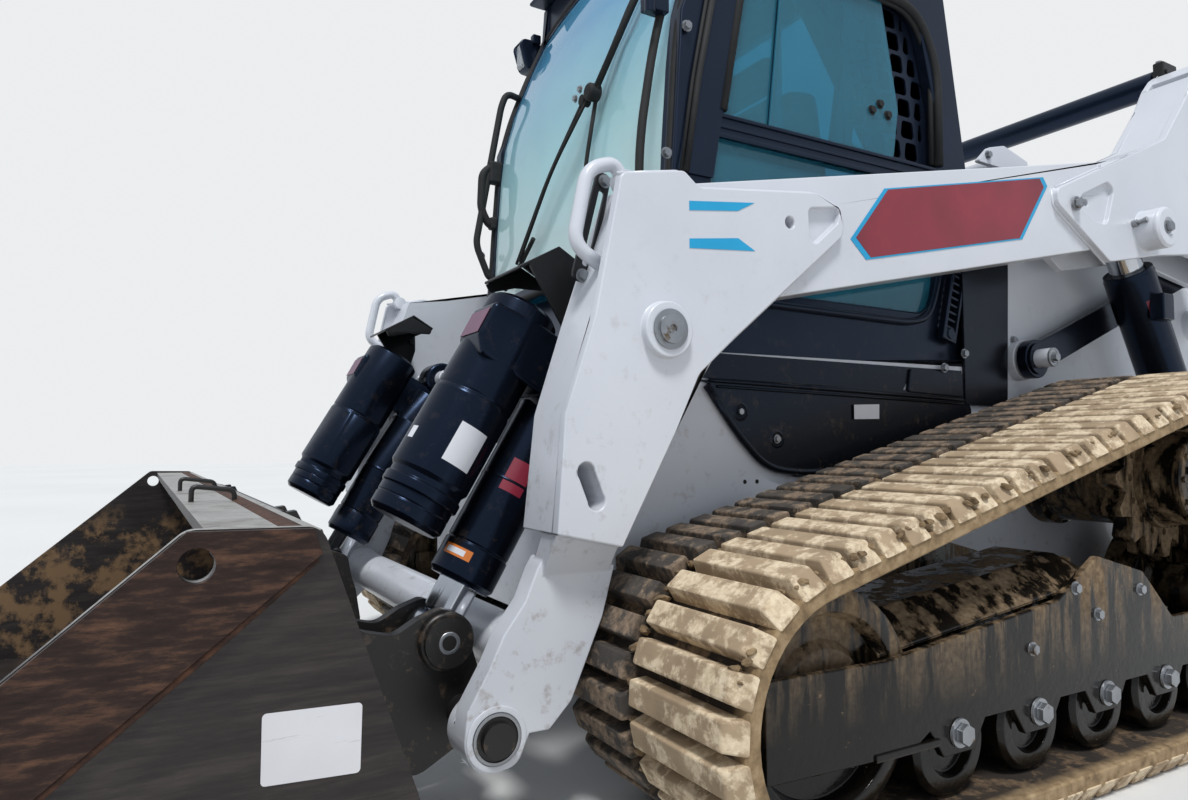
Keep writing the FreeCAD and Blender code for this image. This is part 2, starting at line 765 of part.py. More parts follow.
def arm_half():
    """One lift arm: boxed beam, front leg and the two cheek plates of the rear casting."""
    beam = plate([(500, 1036, 10), (384, 1050), (-914, 1320), (-914, 1102), (208, 868), (330, 770), (420, 640),
                  (535, 444), (649, 469), (630, 652), (582, 800)], arm_out - arm_skin + 4, 110)
    front_cheek = plate([(536, 1039, 14), (413, 1063, 14), (381, 1039, 20), (110, 1073, 20), (35, 1050, 34),
                         (46, 998, 20), (304, 790), (384, 722, 40), (434, 622), (535, 444), (649, 469),
                         (636, 652), (586, 797)], arm_out, arm_skin)
    leg_out = arm_out - 54
    leg = plate([(518, 410), (646, 430), (656, 414), (676, 366), (712, 318), (734, 272), (768, 214),
                 (front_pin_x + 50, front_pin_z, 30), (front_pin_x + 34, front_pin_z - 48, 30),
                 (front_pin_x - 34, front_pin_z - 48, 30), (front_pin_x - 54, front_pin_z - 2), (634, 168),
                 (596, 206, 30), (540, 330)], leg_out, 46)
    knee = bent([(arm_out, 478), (leg_out, 402), (leg_out - 46, 402), (arm_out - 50, 478)], 528, 120)
    ear = pin(front_pin, 50, arm_in + 8, leg_out)
    rear_outline = [(-661, 1206, 20), (-664, 1170, 20), (-876, 1056, 20), (-977, 1075, 20), (-1111, 1100, 30),
                    (-1263, 1120, 30), (-1480, 1090), (arm_pivot_x + 20, arm_pivot_z - 62, 30),
                    (arm_pivot_x - 62, arm_pivot_z - 30, 40), (arm_pivot_x - 58, arm_pivot_z + 40, 40),
                    (-1530, 1400), (-1500, 1640, 40), (-1400, 1700, 40), (-1340, 1640, 20), (-1296, 1572, 30),
                    (-1162, 1420, 60), (-994, 1348, 30)]
    outer_cheek = plate(rear_outline, arm_out, arm_skin)
    inner_cheek = plate(rear_outline, arm_in + arm_skin, arm_skin)
    top_web = plate([(-860, 1300), (-994, 1346), (-1162, 1418), (-1292, 1568), (-1330, 1635), (-1350, 1620),
                     (-1312, 1550), (-1180, 1398), (-1004, 1324), (-860, 1276)], arm_out - 4, arm_out - arm_in - 8)
    bridge = plate([(-1360, 1660), (-1400, 1694), (-1480, 1640), (-1480, 1600), (-1380, 1600)], arm_out - 4,
                   arm_out - arm_in - 8)
    lift_boss = pin(lift_pin, 52, arm_out - 2, arm_out + 44)
    rear_boss = pin(rear_pin, 34, arm_out - 2, arm_out + 12)
    pivot_shaft = pin(arm_pivot, 24, arm_in - 44, arm_in + 10)
    tilt_boss = joined(pin(tilt_pin, 46, arm_out - 2, arm_out + 16), pin(tilt_pin, 24, tilt_side - 78, arm_out))
    arm = joined(beam, front_cheek, leg, knee, ear, outer_cheek, inner_cheek, top_web, bridge, lift_boss,
                 rear_boss, pivot_shaft, tilt_boss)
    slot = [pin((x, z), 15, arm_out - 200, arm_out + 20) for x, z in ((600, 562), (582, 518))]
    slot_middle = plate([(569, 524), (587, 568), (613, 556), (595, 512)], arm_out + 20, 220)
    return carved(arm, pin(front_pin, pin_round + pin_play, arm_in - 20, arm_out + 20), *slot, slot_middle)


left_arm = arm_half()
node("left_lift_arm", left_arm)
node("right_lift_arm", mirrored(left_arm))
cross_x = size("cross_x", 619)
cross_z = size("cross_z", 256)
cross_round = size("cross_round", 49)
cross_half = arm_out - 100
node("front_cross_tube", joined(
    pin((cross_x, cross_z), cross_round, -cross_half + 60, cross_half - 60),
    cone("y", cross_round + 6, cross_round, (cross_x, -cross_half + seat_gap, cross_z), 61),
    cone("y", cross_round, cross_round + 6, (cross_x, cross_half - 61 - seat_gap, cross_z), 61)))
tube_end = arm_in - seat_gap
node("rear_cross_tube", joined(
    pin((tube_x, tube_z), tube_round, -tube_end, tube_end),
    block((tube_x - 30, tube_x + 30), (tube_end - 40, tube_end), (tube_z - 80, tube_z)),
    block((tube_x - 30, tube_x + 30), (-tube_end, -tube_end + 40), (tube_z - 80, tube_z))))


def grab_handle():
    """A bent round bar on the front edge of the arm."""
    at_y = arm_out - 40
    high = (572, 1051)
    low = (599, 925)
    return joined(leaning((508, 1063), high, at_y, 11, 0, 70),
                  leaning(high, low, at_y, 11, -6, 141),
                  leaning((548.5, 898), low, at_y, 11, 1.6, 62))


node("grab_handles", both(grab_handle()))


# Linkages and actuators

def link(a, b, width, at_y, thick, eye, bore):
    """A flat bar with a round eye at each pin."""
    run = math.atan2(number(b[0]) - number(a[0]), number(b[1]) - number(a[1]))
    length = math.hypot(number(b[0]) - number(a[0]), number(b[1]) - number(a[1]))
    bar = document.addObject("Part::Box", fresh("bar"))
    bind(bar, "Length", width)
    bind(bar, "Width", thick)
    bind(bar, "Height", length)
    turn = FreeCAD.Rotation(Vector(0, 1, 0), math.degrees(run))
    corner = turn.multVec(Vector(-number(width) / 2, 0, 0))
    bar.Placement = FreeCAD.Placement(Vector(0, 0, 0), turn)
    bind(bar, ".Placement.Base.x", a[0] + corner.x)
    bind(bar, ".Placement.Base.y", at_y)
    bind(bar, ".Placement.Base.z", a[1] + corner.z)
    eyes = [pin(at, eye, at_y, at_y + thick) for at in (a, b)]
    bores = [pin(at, bore, at_y - 10, at_y + thick + 10) for at in (a, b)]
    return carved(joined(bar, *eyes), *bores)


node("control_links", both(link(link_pin, arm_pivot, 74, arm_in - 32, 26, 50, 24.5)))
rear_bar = link(rear_foot, rear_pin, 90, lift_side - 34, 68, 52, 26.5)
rear_stub = pin(rear_pin, 28, arm_in + arm_skin + seat_gap, arm_out - arm_skin - seat_gap)
node("rear_links", both(joined(rear_bar, rear_stub)))

lift_length = math.hypot(number(lift_pin_x - lift_foot_x), number(lift_pin_z - lift_foot_z))
gland = lift_length - 96


def lift_barrel():
    eye = pin(lift_foot, 50, lift_side - 34, lift_side + 34)
    tube = leaning(lift_foot, lift_pin, lift_side, lift_tube, 48, gland - 48)
    bore = pin(lift_foot, 26.5, lift_side - 60, lift_side + 60)
    hollow = leaning(lift_foot, lift_pin, lift_side, lift_rod + 1, 80, gland - 20)
    return carved(joined(eye, tube), bore, hollow)


node("lift_barrels", both(lift_barrel()))


eye_in = arm_in + arm_skin + seat_gap
eye_out = arm_out - arm_skin - seat_gap


def lift_ram():
    eye = pin(lift_pin, 48, lift_side - 34, lift_side + 34)
    bar = leaning(lift_foot, lift_pin, lift_side, lift_rod, 100, lift_length - 130)
    return joined(eye, bar, pin(lift_pin, 26, eye_in, eye_out))


node("lift_rods", both(lift_ram()))

tilt_length = math.hypot(number(tilt_eye_x - tilt_pin_x), number(tilt_eye_z - tilt_pin_z))
tilt_gland = tilt_length - 92
tilt_turn = math.degrees(math.atan2(number(tilt_eye_x - tilt_pin_x), number(tilt_eye_z - tilt_pin_z)))
tilt_run = math.radians(tilt_turn)
across = (-math.cos(tilt_run), math.sin(tilt_run))
motor_a = (tilt_pin_x + motor_reach * across[0], tilt_pin_z + motor_reach * across[1])
motor_b = (tilt_eye_x + motor_reach * across[0], tilt_eye_z + motor_reach * across[1])


def tilt_barrel():
    """Slim screw tube with the gear housing that bridges it to the motor."""
    eye = pin(tilt_pin, 46, tilt_side - 40, tilt_side + 40)
    tube = leaning(tilt_pin, tilt_eye, tilt_side, tilt_tube, 30, tilt_gland - 30)
    housing = block((-80, motor_reach + 76), (tilt_side - 74, tilt_side + 74), (-140, -40))
    housing.Placement = FreeCAD.Placement(
        Vector(number(tilt_pin_x), 0, number(tilt_pin_z)),
        FreeCAD.Rotation(Vector(0, 1, 0), tilt_turn - 180)).multiply(housing.Placement)
    bore = pin(tilt_pin, 24.5, tilt_side - 80, tilt_side + 80)
    hollow = leaning(tilt_pin, tilt_eye, tilt_side, tilt_rod + 1, 150, tilt_gland)
    return carved(joined(eye, tube, housing), bore, hollow)


node("tilt_barrels", both(tilt_barrel()))
node("tilt_motors", both(joined(leaning(motor_a, motor_b, tilt_side, motor_round, 140 + seat_gap, 244),
                                leaning(motor_a, motor_b, tilt_side, motor_round + 4, 340, 48),
                                leaning(motor_a, motor_b, tilt_side - 6, motor_round - 16, 380, 70))))
guard_out = arm_out - 126 - seat_gap
node("tilt_guards", both(joined(
    plate([(498, 946), (690, 908), (689, 902), (497, 940)], guard_out, 200),
    plate([(498, 946), (690, 908), (562, 800), (520, 880)], guard_out, 6))))


def tilt_ram():
    eye = pin(tilt_eye, 42, tilt_side - 34, tilt_side + 34)
    bar = leaning(tilt_pin, tilt_eye, tilt_side, tilt_rod, 230, tilt_length - 256)
    return joined(eye, bar, pin(tilt_eye, 24, tilt_side - 42 + seat_gap, tilt_side + 42 - seat_gap))


node("tilt_rods", both(tilt_ram()))


# Coupler and bucket

back_top = (1045, 524)
back_bend = (950, 265)
back_low = (888, 66)


def coupler_side(outer):
    """A coupler plate with the curved top edge that drops behind the tilt eye."""
    return plate([(870, 84), (790, 80, 40), (735, 110, 40), (front_pin_x - 44, front_pin_z - 20, 20),
                  (front_pin_x - 30, 232), (tilt_eye_x - 46, tilt_eye_z - 16, 20),
                  (tilt_eye_x - 36, tilt_eye_z + 36, 24), (tilt_eye_x + 6, tilt_eye_z + 52, 20),
                  (tilt_eye_x + 46, tilt_eye_z + 38, 20), (tilt_eye_x + 84, tilt_eye_z + 16, 30),
                  (tilt_eye_x + 140, tilt_eye_z + 30, 30), (985, 505), (1035, 498),
                  (back_bend[0] - seat_gap * 1.1, back_bend[1]), (896, 92)], outer, 24)


def coupler_half():
    sides = [coupler_side(tilt_side + 66), coupler_side(tilt_side - 42)]
    rod_pin = pin(tilt_eye, 22, tilt_side + 50, tilt_side + 76)
    cap = pin(tilt_eye, 40, tilt_side + 64, tilt_side + 86)
    foot_pin = pin(front_pin, pin_round, tilt_side + 60, arm_out - 40)
    return joined(cap, rod_pin, foot_pin, *sides)


coupler_left = coupler_half()
face = plate([(894, 92), (back_bend[0] - seat_gap * 1.1, back_bend[1]), (1035, 498), (1015, 500),
              (back_bend[0] - 20, back_bend[1] + 4), (874, 92)], tilt_side + 60, (tilt_side + 60) * 2)
top_bar = pin((1008, 490), 16, -(tilt_side + 66), tilt_side + 66)
coupler = joined(coupler_left, mirrored(coupler_left), face, top_bar)
node("coupler_frame", coupler)

heel = (892, 40)
side_out = bucket_half - 9.7


def bucket_side():
    return plate([(1045, 527, 20), (1158, 529, 20), (bucket_tip_x - 100, 40), (bucket_tip_x - 90, 4), (960, 4, 60),
                  (heel[0] + 10, 60, 60), (950, 263)], side_out, bucket_skin)


left_wall = bucket_side()
shell = plate([(1065, 520), back_top, back_bend, (back_low[0], back_low[1], 60), (960, 2, 60), (bucket_tip_x - 90, 2),
               (bucket_tip_x - 90, 16), (975, 16, 50), (heel[0] + 18, 76, 50), (968, 262)],
              side_out - 2, (side_out - 2) * 2)
top_beam = plate([(1050, 523), (1140, 523), (1140, 505), (1060, 455), (1020, 440)], side_out - 2, (side_out - 2) * 2)
hook_at = (1150, 499)
hook_holes = pin(hook_at, size("hook_round", 15), -(bucket_half + 20), bucket_half + 20)
node("bucket", carved(joined(left_wall, mirrored(left_wall), shell, top_beam), hook_holes))
cutter = plate([(1054, 526), (1158, 528), (bucket_tip_x - 104, 42), (bucket_tip_x - 94, 8),
                (bucket_tip_x - 164, 8), (1046, 503)], bucket_half, 9.4)
node("side_cutters", both(carved(cutter, pin(hook_at, size("cutter_hole", 15), bucket_half - 40, bucket_half + 20))))
node("cutting_edge", plate([(bucket_tip_x - 90 + seat_gap, 0), (bucket_tip_x, 0), (bucket_tip_x - 40, 19),
                            (bucket_tip_x - 90 + seat_gap, 19)], side_out, side_out * 2))

document.recompute()

# Export

os.makedirs("parts", exist_ok=True)
for item in document.Objects:
    if "Invalid" in item.State or "Error" in item.State:
        raise RuntimeError("%s %s did not build: %s" % (item.Name, item.Label, item.State))
for item in nodes:
    shape = item.Shape
    if shape.isNull() or not shape.isValid():
        raise RuntimeError("%s has no sound shape" % item.Label)
    shape.exportStep("parts/%s.step" % item.Label)
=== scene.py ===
# %% [markdown]
# A compact track loader stands on pale ground with its arms down and its bucket flat.
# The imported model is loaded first: it fixes where every body, pin and panel is. The
# pieces made here only give those places their finish and their finer shape.

# %% Load the frame
import math
import random

import bmesh
import bpy
from mathutils import Matrix, Vector
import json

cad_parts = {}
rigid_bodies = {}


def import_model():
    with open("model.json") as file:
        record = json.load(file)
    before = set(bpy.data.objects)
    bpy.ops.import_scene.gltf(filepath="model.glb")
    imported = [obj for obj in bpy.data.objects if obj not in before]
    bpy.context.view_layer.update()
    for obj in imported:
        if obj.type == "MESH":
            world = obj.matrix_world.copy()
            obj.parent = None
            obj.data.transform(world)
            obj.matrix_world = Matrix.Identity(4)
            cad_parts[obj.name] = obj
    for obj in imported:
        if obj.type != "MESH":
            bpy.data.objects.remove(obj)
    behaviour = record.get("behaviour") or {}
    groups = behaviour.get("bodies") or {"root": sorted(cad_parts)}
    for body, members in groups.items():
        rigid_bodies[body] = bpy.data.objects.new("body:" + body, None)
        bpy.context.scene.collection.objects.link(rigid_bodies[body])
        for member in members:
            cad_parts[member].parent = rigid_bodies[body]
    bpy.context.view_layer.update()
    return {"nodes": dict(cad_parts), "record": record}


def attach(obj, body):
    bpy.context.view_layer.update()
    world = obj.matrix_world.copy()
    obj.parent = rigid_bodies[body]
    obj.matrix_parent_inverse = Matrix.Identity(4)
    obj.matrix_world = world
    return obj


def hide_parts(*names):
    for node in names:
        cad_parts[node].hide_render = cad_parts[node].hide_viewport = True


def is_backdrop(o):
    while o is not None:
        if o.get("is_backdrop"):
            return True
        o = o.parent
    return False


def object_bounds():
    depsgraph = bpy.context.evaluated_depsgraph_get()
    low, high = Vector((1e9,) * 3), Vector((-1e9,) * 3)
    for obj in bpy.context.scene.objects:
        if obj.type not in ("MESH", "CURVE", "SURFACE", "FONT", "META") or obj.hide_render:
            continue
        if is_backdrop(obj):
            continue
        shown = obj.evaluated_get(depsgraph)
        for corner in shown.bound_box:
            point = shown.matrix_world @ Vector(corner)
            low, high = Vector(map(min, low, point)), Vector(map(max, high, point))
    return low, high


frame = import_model()
nodes = frame["nodes"]
bpy.ops.object.select_all(action="DESELECT")
random.seed(7)

# %% [markdown]
# Colours are written as sRGB hex values, the way a paint chart gives them, and turned
# to linear light in one place. One small function adds a node with its settings and
# links, so that each material below reads as a short recipe.

# %% Colour and node helpers


def colour(code):
    """Linear RGBA from an sRGB hex value."""
    parts = [int(code[i:i + 2], 16) / 255 for i in (1, 3, 5)]
    return [p / 12.92 if p <= 0.04045 else ((p + 0.055) / 1.055) ** 2.4 for p in parts] + [1.0]


def add(tree, kind, settings=None, **links):
    """Adds a node. Settings are attributes, links are input names with a value or a socket."""
    node = tree.nodes.new(kind)
    for name, value in (settings or {}).items():
        setattr(node, name, value)
    for name, value in links.items():
        key = int(name[1:]) if name[0] == "i" and name[1:].isdigit() else name.replace("_", " ")
        if isinstance(value, bpy.types.NodeSocket):
            tree.links.new(value, node.inputs[key])
        else:
            node.inputs[key].default_value = value
    return node


def ramp(tree, factor, *stops):
    """A colour ramp from (place, hex) stops."""
    node = add(tree, "ShaderNodeValToRGB", Fac=factor)
    band = node.color_ramp
    while len(band.elements) < len(stops):
        band.elements.new(0.5)
    for element, (place, code) in zip(band.elements, stops):
        element.position = place
        element.color = colour(code)
    return node.outputs["Color"]


def finish_of(name, rough, metal=0.0, **shader):
    """A new material with its shader and its place coordinates."""
    material = bpy.data.materials.new(name)
    material.use_nodes = True
    tree = material.node_tree
    tree.nodes.clear()
    out = add(tree, "ShaderNodeOutputMaterial")
    body = add(tree, "ShaderNodeBsdfPrincipled", Roughness=rough, Metallic=metal, **shader)
    tree.links.new(body.outputs["BSDF"], out.inputs["Surface"])
    place = add(tree, "ShaderNodeTexCoord").outputs["Object"]
    return material, tree, body, place


def noise(tree, place, grain, detail=4.0, rough=0.55):
    """Cloudy noise whose features are about grain metres across."""
    return add(tree, "ShaderNodeTexNoise", Vector=place, Scale=1 / grain, Detail=detail, Roughness=rough).outputs["Fac"]


def relief(tree, body, height, depth):
    """Bump of the given depth in metres."""
    bump = add(tree, "ShaderNodeBump", Height=height, Distance=depth, Strength=0.6)
    tree.links.new(bump.outputs["Normal"], body.inputs["Normal"])


# %% [markdown]
# White polyester paint over steel: smooth and glossy with faint waviness, a little dust
# low down and dried splashes of earth.

# %% White paint


def blend_of(tree, factor, first, second):
    """First colour where factor is 0, second where it is 1."""
    mix = add(tree, "ShaderNodeMix", {"data_type": "RGBA"}, i0=factor, i6=first, i7=second)
    return mix.outputs[2]


def between(tree, value, low, high):
    """Value spread from low..high to 0..1."""
    node = add(tree, "ShaderNodeMapRange", i0=value, i1=low, i2=high, i3=0.0, i4=1.0)
    return node.outputs[0]


def product(tree, a, b):
    return add(tree, "ShaderNodeMath", {"operation": "MULTIPLY"}, i0=a, i1=b).outputs[0]


# The gloss of a paint can be given a colour; a blue colour there is a painted reflection of a blue sky.
def painted(name, code, shade, rough, dirt=0.35, coat=0.0, mud="#7a6650", gleam=0.5, tint="#ffffff"):
    material, tree, body, place = finish_of(name, rough, Coat_Weight=coat, Coat_Roughness=0.08,
                                            Specular_IOR_Level=gleam, Specular_Tint=colour(tint))
    cloud = noise(tree, place, 0.35)
    base = ramp(tree, cloud, (0.3, code), (0.75, shade))
    height = add(tree, "ShaderNodeSeparateXYZ", Vector=place).outputs["Z"]
    low_down = between(tree, height, 1.1, 0.1)
    specks = between(tree, noise(tree, place, 0.035, 8.0, 0.7), 0.56, 0.7)
    spots = product(tree, specks, low_down)
    amount = product(tree, spots, dirt)
    tree.links.new(blend_of(tree, amount, base, colour(mud)), body.inputs["Base Color"])
    relief(tree, body, noise(tree, place, 0.02, 2.0), 0.0002)
    return material


white_paint = painted("white_polyester_paint", "#d6d9df", "#c9cdd5", 0.32, 0.6, 0.3)
# The cab, cover and actuator paints give their gloss a pale blue colour: a painted reflection of the sky.
cab_paint = painted("navy_black_paint", "#151c29", "#0e141f", 0.3, 0.35, 0.0, gleam=0.5, tint="#a9c4ee")
black_cover = painted("moulded_black_cover", "#14161b", "#0d0f12", 0.26, 0.45, gleam=0.4, tint="#b8cdf0")
actuator_black = painted("black_actuator_paint", "#0c1018", "#07090e", 0.24, 0.2, 0.0, gleam=0.45, tint="#96b6ec")
coupler_black = painted("worn_black_paint", "#1d1b1a", "#131212", 0.42, 0.8, 0.0, "#6d5c4b")
frame_black = painted("muddy_black_paint", "#211e1b", "#15130f", 0.6, 1.0)
case_grey = painted("grey_case_paint", "#50545a", "#45484e", 0.45, 0.2)

# %% [markdown]
# Rubber track with dried mud. Rubber alone is matt black; the tread carries tan mud in
# its pores, so brown noise covers most of it.

# %% Rubber, steel, chrome and glass
track_rubber, tree, body, place = finish_of("muddy_track_rubber", 0.85)
crust = between(tree, noise(tree, place, 0.05, 8.0, 0.65), 0.38, 0.62)
mud_colour = ramp(tree, noise(tree, place, 0.012, 6.0), (0.3, "#5c4d3e"), (0.6, "#8a765e"), (0.8, "#a8947a"))
tree.links.new(blend_of(tree, crust, colour("#2b2723"), mud_colour), body.inputs["Base Color"])
relief(tree, body, noise(tree, place, 0.008, 6.0), 0.002)

bucket_steel, tree, body, place = finish_of("bare_worn_bucket_steel", 0.46, 0.6)
stain = noise(tree, place, 0.22, 8.0, 0.66)
streak_place = add(tree, "ShaderNodeMapping", Vector=place, Scale=(1.0, 1.0, 9.0)).outputs["Vector"]
streak = noise(tree, streak_place, 0.12, 9.0, 0.72)
steel = ramp(tree, streak, (0.3, "#2a2726"), (0.5, "#383332"), (0.66, "#46403e"), (0.76, "#5f483b"))
rust = ramp(tree, streak, (0.35, "#312926"), (0.58, "#44352c"), (0.8, "#75523b"))
# The top of the back beam is scraped bright by what is loaded over it.
facing = add(tree, "ShaderNodeSeparateXYZ", Vector=add(tree, "ShaderNodeTexCoord").outputs["Normal"])
height = add(tree, "ShaderNodeSeparateXYZ", Vector=place).outputs["Z"]
scraped = product(tree, between(tree, facing.outputs["Z"], 0.3, 0.8), between(tree, height, 0.42, 0.47))
bright = ramp(tree, streak, (0.3, "#8d8983"), (0.5, "#b5b2ac"), (0.7, "#6d625a"))
worn = blend_of(tree, between(tree, stain, 0.6, 0.84), steel, rust)
shiny = blend_of(tree, scraped, worn, bright)
# Dry tan mud sticks low on the inner face of the far side plate.
across = add(tree, "ShaderNodeSeparateXYZ", Vector=place).outputs["Y"]
far_side = product(tree, between(tree, across, -0.94, -0.96), between(tree, height, 0.44, 0.36))
inner_face = product(tree, far_side, between(tree, facing.outputs["Y"], 0.3, 0.8))
stuck = product(tree, inner_face, between(tree, noise(tree, place, 0.09, 8.0, 0.7), 0.47, 0.56))
tree.links.new(blend_of(tree, stuck, shiny, colour("#8f7355")), body.inputs["Base Color"])
relief(tree, body, noise(tree, place, 0.006, 6.0), 0.0006)

rod_chrome, tree, body, place = finish_of("hard_chrome", 0.12, 1.0)
tree.links.new(ramp(tree, noise(tree, place, 0.1), (0.3, "#c9ccd0"), (0.7, "#aeb2b8")), body.inputs["Base Color"])

glass, tree, body, place = finish_of("tinted_safety_glass", 0.03, 0.0, Transmission_Weight=1.0, IOR=1.45)
tree.links.new(ramp(tree, noise(tree, place, 0.6), (0.3, "#b6d6d4"), (0.7, "#a5c9cb")), body.inputs["Base Color"])

lamp_glass, tree, body, place = finish_of("lamp_lens", 0.06, 0.0, Transmission_Weight=0.6)
tree.links.new(ramp(tree, noise(tree, place, 0.02), (0.3, "#e8edf0"), (0.7, "#cfd6da")), body.inputs["Base Color"])

seat_vinyl, tree, body, place = finish_of("black_seat_vinyl", 0.6)
tree.links.new(ramp(tree, noise(tree, place, 0.02), (0.3, "#1e1e20"), (0.7, "#27272a")), body.inputs["Base Color"])
relief(tree, body, noise(tree, place, 0.003), 0.0004)

# %% [markdown]
# Wet earth has dried tan on the lugs. The outer lugs are painted lighter as painted sunlight, and the
# inner lugs darker as the painted shadow of the lift arm. The height of a place above the belt is
# not needed: the distance from the machine's middle tells the two rows apart.

# %% Tread, earth and bolts


def muddy(name, dark, tan, share, rough=0.85, metal=0.0, depth=0.0015):
    """Dark ground colour under crusts of dried mud that cover about a share of it."""
    material, tree, body, place = finish_of(name, rough, metal)
    crust = noise(tree, place, 0.045, 9.0, 0.68)
    edge = between(tree, crust, 0.62 - share * 0.3, 0.70 - share * 0.3)
    grain = noise(tree, place, 0.010, 7.0, 0.6)
    mud_shades = ramp(tree, grain, (0.3, tan[0]), (0.5, tan[1]), (0.75, tan[2]))
    ground = ramp(tree, noise(tree, place, 0.08, 6.0), (0.35, dark[0]), (0.7, dark[1]))
    return material, tree, body, place, edge, ground, mud_shades


# The belt is dark rubber under mud. Its ground colour is darkened further as painted shade in the gaps between the
# lugs.
track_rubber, tree, body, place, edge, ground, mud = muddy(
    "muddy_belt_rubber_painted_gap_shade", ("#221b15", "#33291f"), ("#4a3b2b", "#5d4b38", "#78634a"), 0.4, 0.95)
side_of = add(tree, "ShaderNodeMath", {"operation": "ABSOLUTE"},
              i0=add(tree, "ShaderNodeSeparateXYZ", Vector=place).outputs["Y"]).outputs[0]
rim = between(tree, side_of, 0.955, 0.975)
caked = ramp(tree, noise(tree, place, 0.02, 7.0), (0.3, "#6b573f"), (0.5, "#8f7858"), (0.75, "#ab9474"))
tree.links.new(blend_of(tree, rim, blend_of(tree, edge, ground, mud), caked), body.inputs["Base Color"])
relief(tree, body, noise(tree, place, 0.009, 7.0, 0.6), 0.0025)

# Outer lugs: dried earth, painted lighter as painted sunlight.
outer_lugs_painted_sunlit, tree, body, place, edge, ground, mud = muddy(
    "muddy_outer_lugs_painted_sunlight", ("#937f66", "#ae987b"), ("#b8a285", "#d2bfa1", "#e6d6bb"), 0.5, 0.9)
tree.links.new(blend_of(tree, edge, ground, mud), body.inputs["Base Color"])
ribs = add(tree, "ShaderNodeMapping", Vector=place, Scale=(26.0, 2.0, 26.0)).outputs["Vector"]
relief(tree, body, noise(tree, ribs, 0.6, 5.0, 0.6), 0.002)

# Inner lugs: the same earth, painted darker as the painted shadow of the lift arm.
inner_lugs_painted_shadow, tree, body, place, edge, ground, mud = muddy(
    "muddy_inner_lugs_painted_shadow", ("#37332f", "#504a44"), ("#5e5145", "#7d6b59", "#9f8b74"), 0.5, 0.75)
tree.links.new(blend_of(tree, edge, ground, mud), body.inputs["Base Color"])
relief(tree, body, noise(tree, place, 0.009, 7.0, 0.6), 0.0025)

# Mud on the track frame lies on its top and runs down its face in thin tails.
frame_black, tree, body, place, edge, ground, mud = muddy(
    "muddy_black_paint", ("#100e0c", "#171411"), ("#5a4936", "#7d684f", "#9b8668"), 0.5, 0.5)
body.inputs["Specular IOR Level"].default_value = 0.3
height = add(tree, "ShaderNodeSeparateXYZ", Vector=place).outputs["Z"]
tails = add(tree, "ShaderNodeMapping", Vector=place, Scale=(9.0, 9.0, 1.2)).outputs["Vector"]
runs = between(tree, noise(tree, tails, 0.35, 6.0, 0.62), 0.44, 0.56)
high_up = between(tree, height, 0.20, 0.36)
specks = product(tree, between(tree, noise(tree, place, 0.022, 8.0, 0.7), 0.64, 0.68), 0.5)
share = add(tree, "ShaderNodeMath", {"operation": "MULTIPLY_ADD", "use_clamp": True}, i0=product(tree, runs, high_up), i1=0.9,
            i2=specks).outputs[0]
tree.links.new(blend_of(tree, share, ground, mud), body.inputs["Base Color"])
tree.links.new(ramp(tree, share, (0.2, "#5c5c5c"), (0.8, "#e6e6e6")), body.inputs["Roughness"])
relief(tree, body, noise(tree, place, 0.012, 7.0), 0.0012)

dry_earth, tree, body, place = finish_of("dry_earth", 0.95)
tree.links.new(ramp(tree, noise(tree, place, 0.03, 8.0, 0.65), (0.3, "#54432f"), (0.5, "#7c674c"), (0.72, "#a08a69")),
               body.inputs["Base Color"])
relief(tree, body, noise(tree, place, 0.004, 5.0), 0.0015)

zinc_bolt, tree, body, place, edge, ground, mud = muddy(
    "zinc_plated_steel", ("#8d9094", "#a9acb0"), ("#57493a", "#73624e", "#8a7a64"), 0.16, 0.36, 0.85)
tree.links.new(blend_of(tree, edge, ground, mud), body.inputs["Base Color"])

# %% [markdown]
# The panels are printed film with a satin face. Their print is left out, so each film is
# one plain colour with faint handling marks.

# %% Films


def film(name, code, shade, rough=0.4, wear=0.0, under="#5b4a3c", stretch=1.0):
    material, tree, body, place = finish_of(name, rough, Coat_Weight=0.2, Coat_Roughness=0.15)
    base = ramp(tree, noise(tree, place, 0.12, 5.0), (0.3, code), (0.75, shade))
    along = add(tree, "ShaderNodeMapping", Vector=place, Scale=(1.0, 1.0, stretch)).outputs["Vector"]
    scuffs = between(tree, noise(tree, along, 0.018 * stretch, 9.0, 0.75), 0.62 - wear * 0.2, 0.66 - wear * 0.2)
    worn = product(tree, scuffs, min(1.0, 0.15 + wear))
    tree.links.new(blend_of(tree, worn, base, colour(under)), body.inputs["Base Color"])
    return material


blue_film = film("blue_film", "#12a3d4", "#0c97c8")
red_film = film("dark_red_film", "#8e2a38", "#74212e")
red_label_film = film("red_label_film", "#8e2138", "#7d1b30")
yellow_film = film("yellow_label_film", "#e3b52d", "#d3a522", 0.45, 0.2)
white_film = film("white_label_film", "#dfe0e4", "#d2d4da")
scuffed_film = film("scuffed_label_film", "#d6d5d8", "#c9c7c8", 0.5, 0.15, "#6b5a48", 14.0)
plum_film = film("plum_label_film", "#6b3a55", "#5d314a")
orange_film = film("orange_band_film", "#d97a2a", "#c76b20")
satin_cover = painted("satin_black_cover", "#18191b", "#101113", 0.4, 0.3)
rusty_weld, tree, body, place = finish_of("rusty_weld_metal", 0.7, 0.3)
tree.links.new(ramp(tree, noise(tree, place, 0.015, 6.0), (0.3, "#2c1d17"), (0.5, "#4a2f22"), (0.75, "#6b4730")),
               body.inputs["Base Color"])
relief(tree, body, noise(tree, place, 0.005, 4.0), 0.0012)
cutter_steel, tree, body, place = finish_of("worn_cutter_steel", 0.48, 0.7)
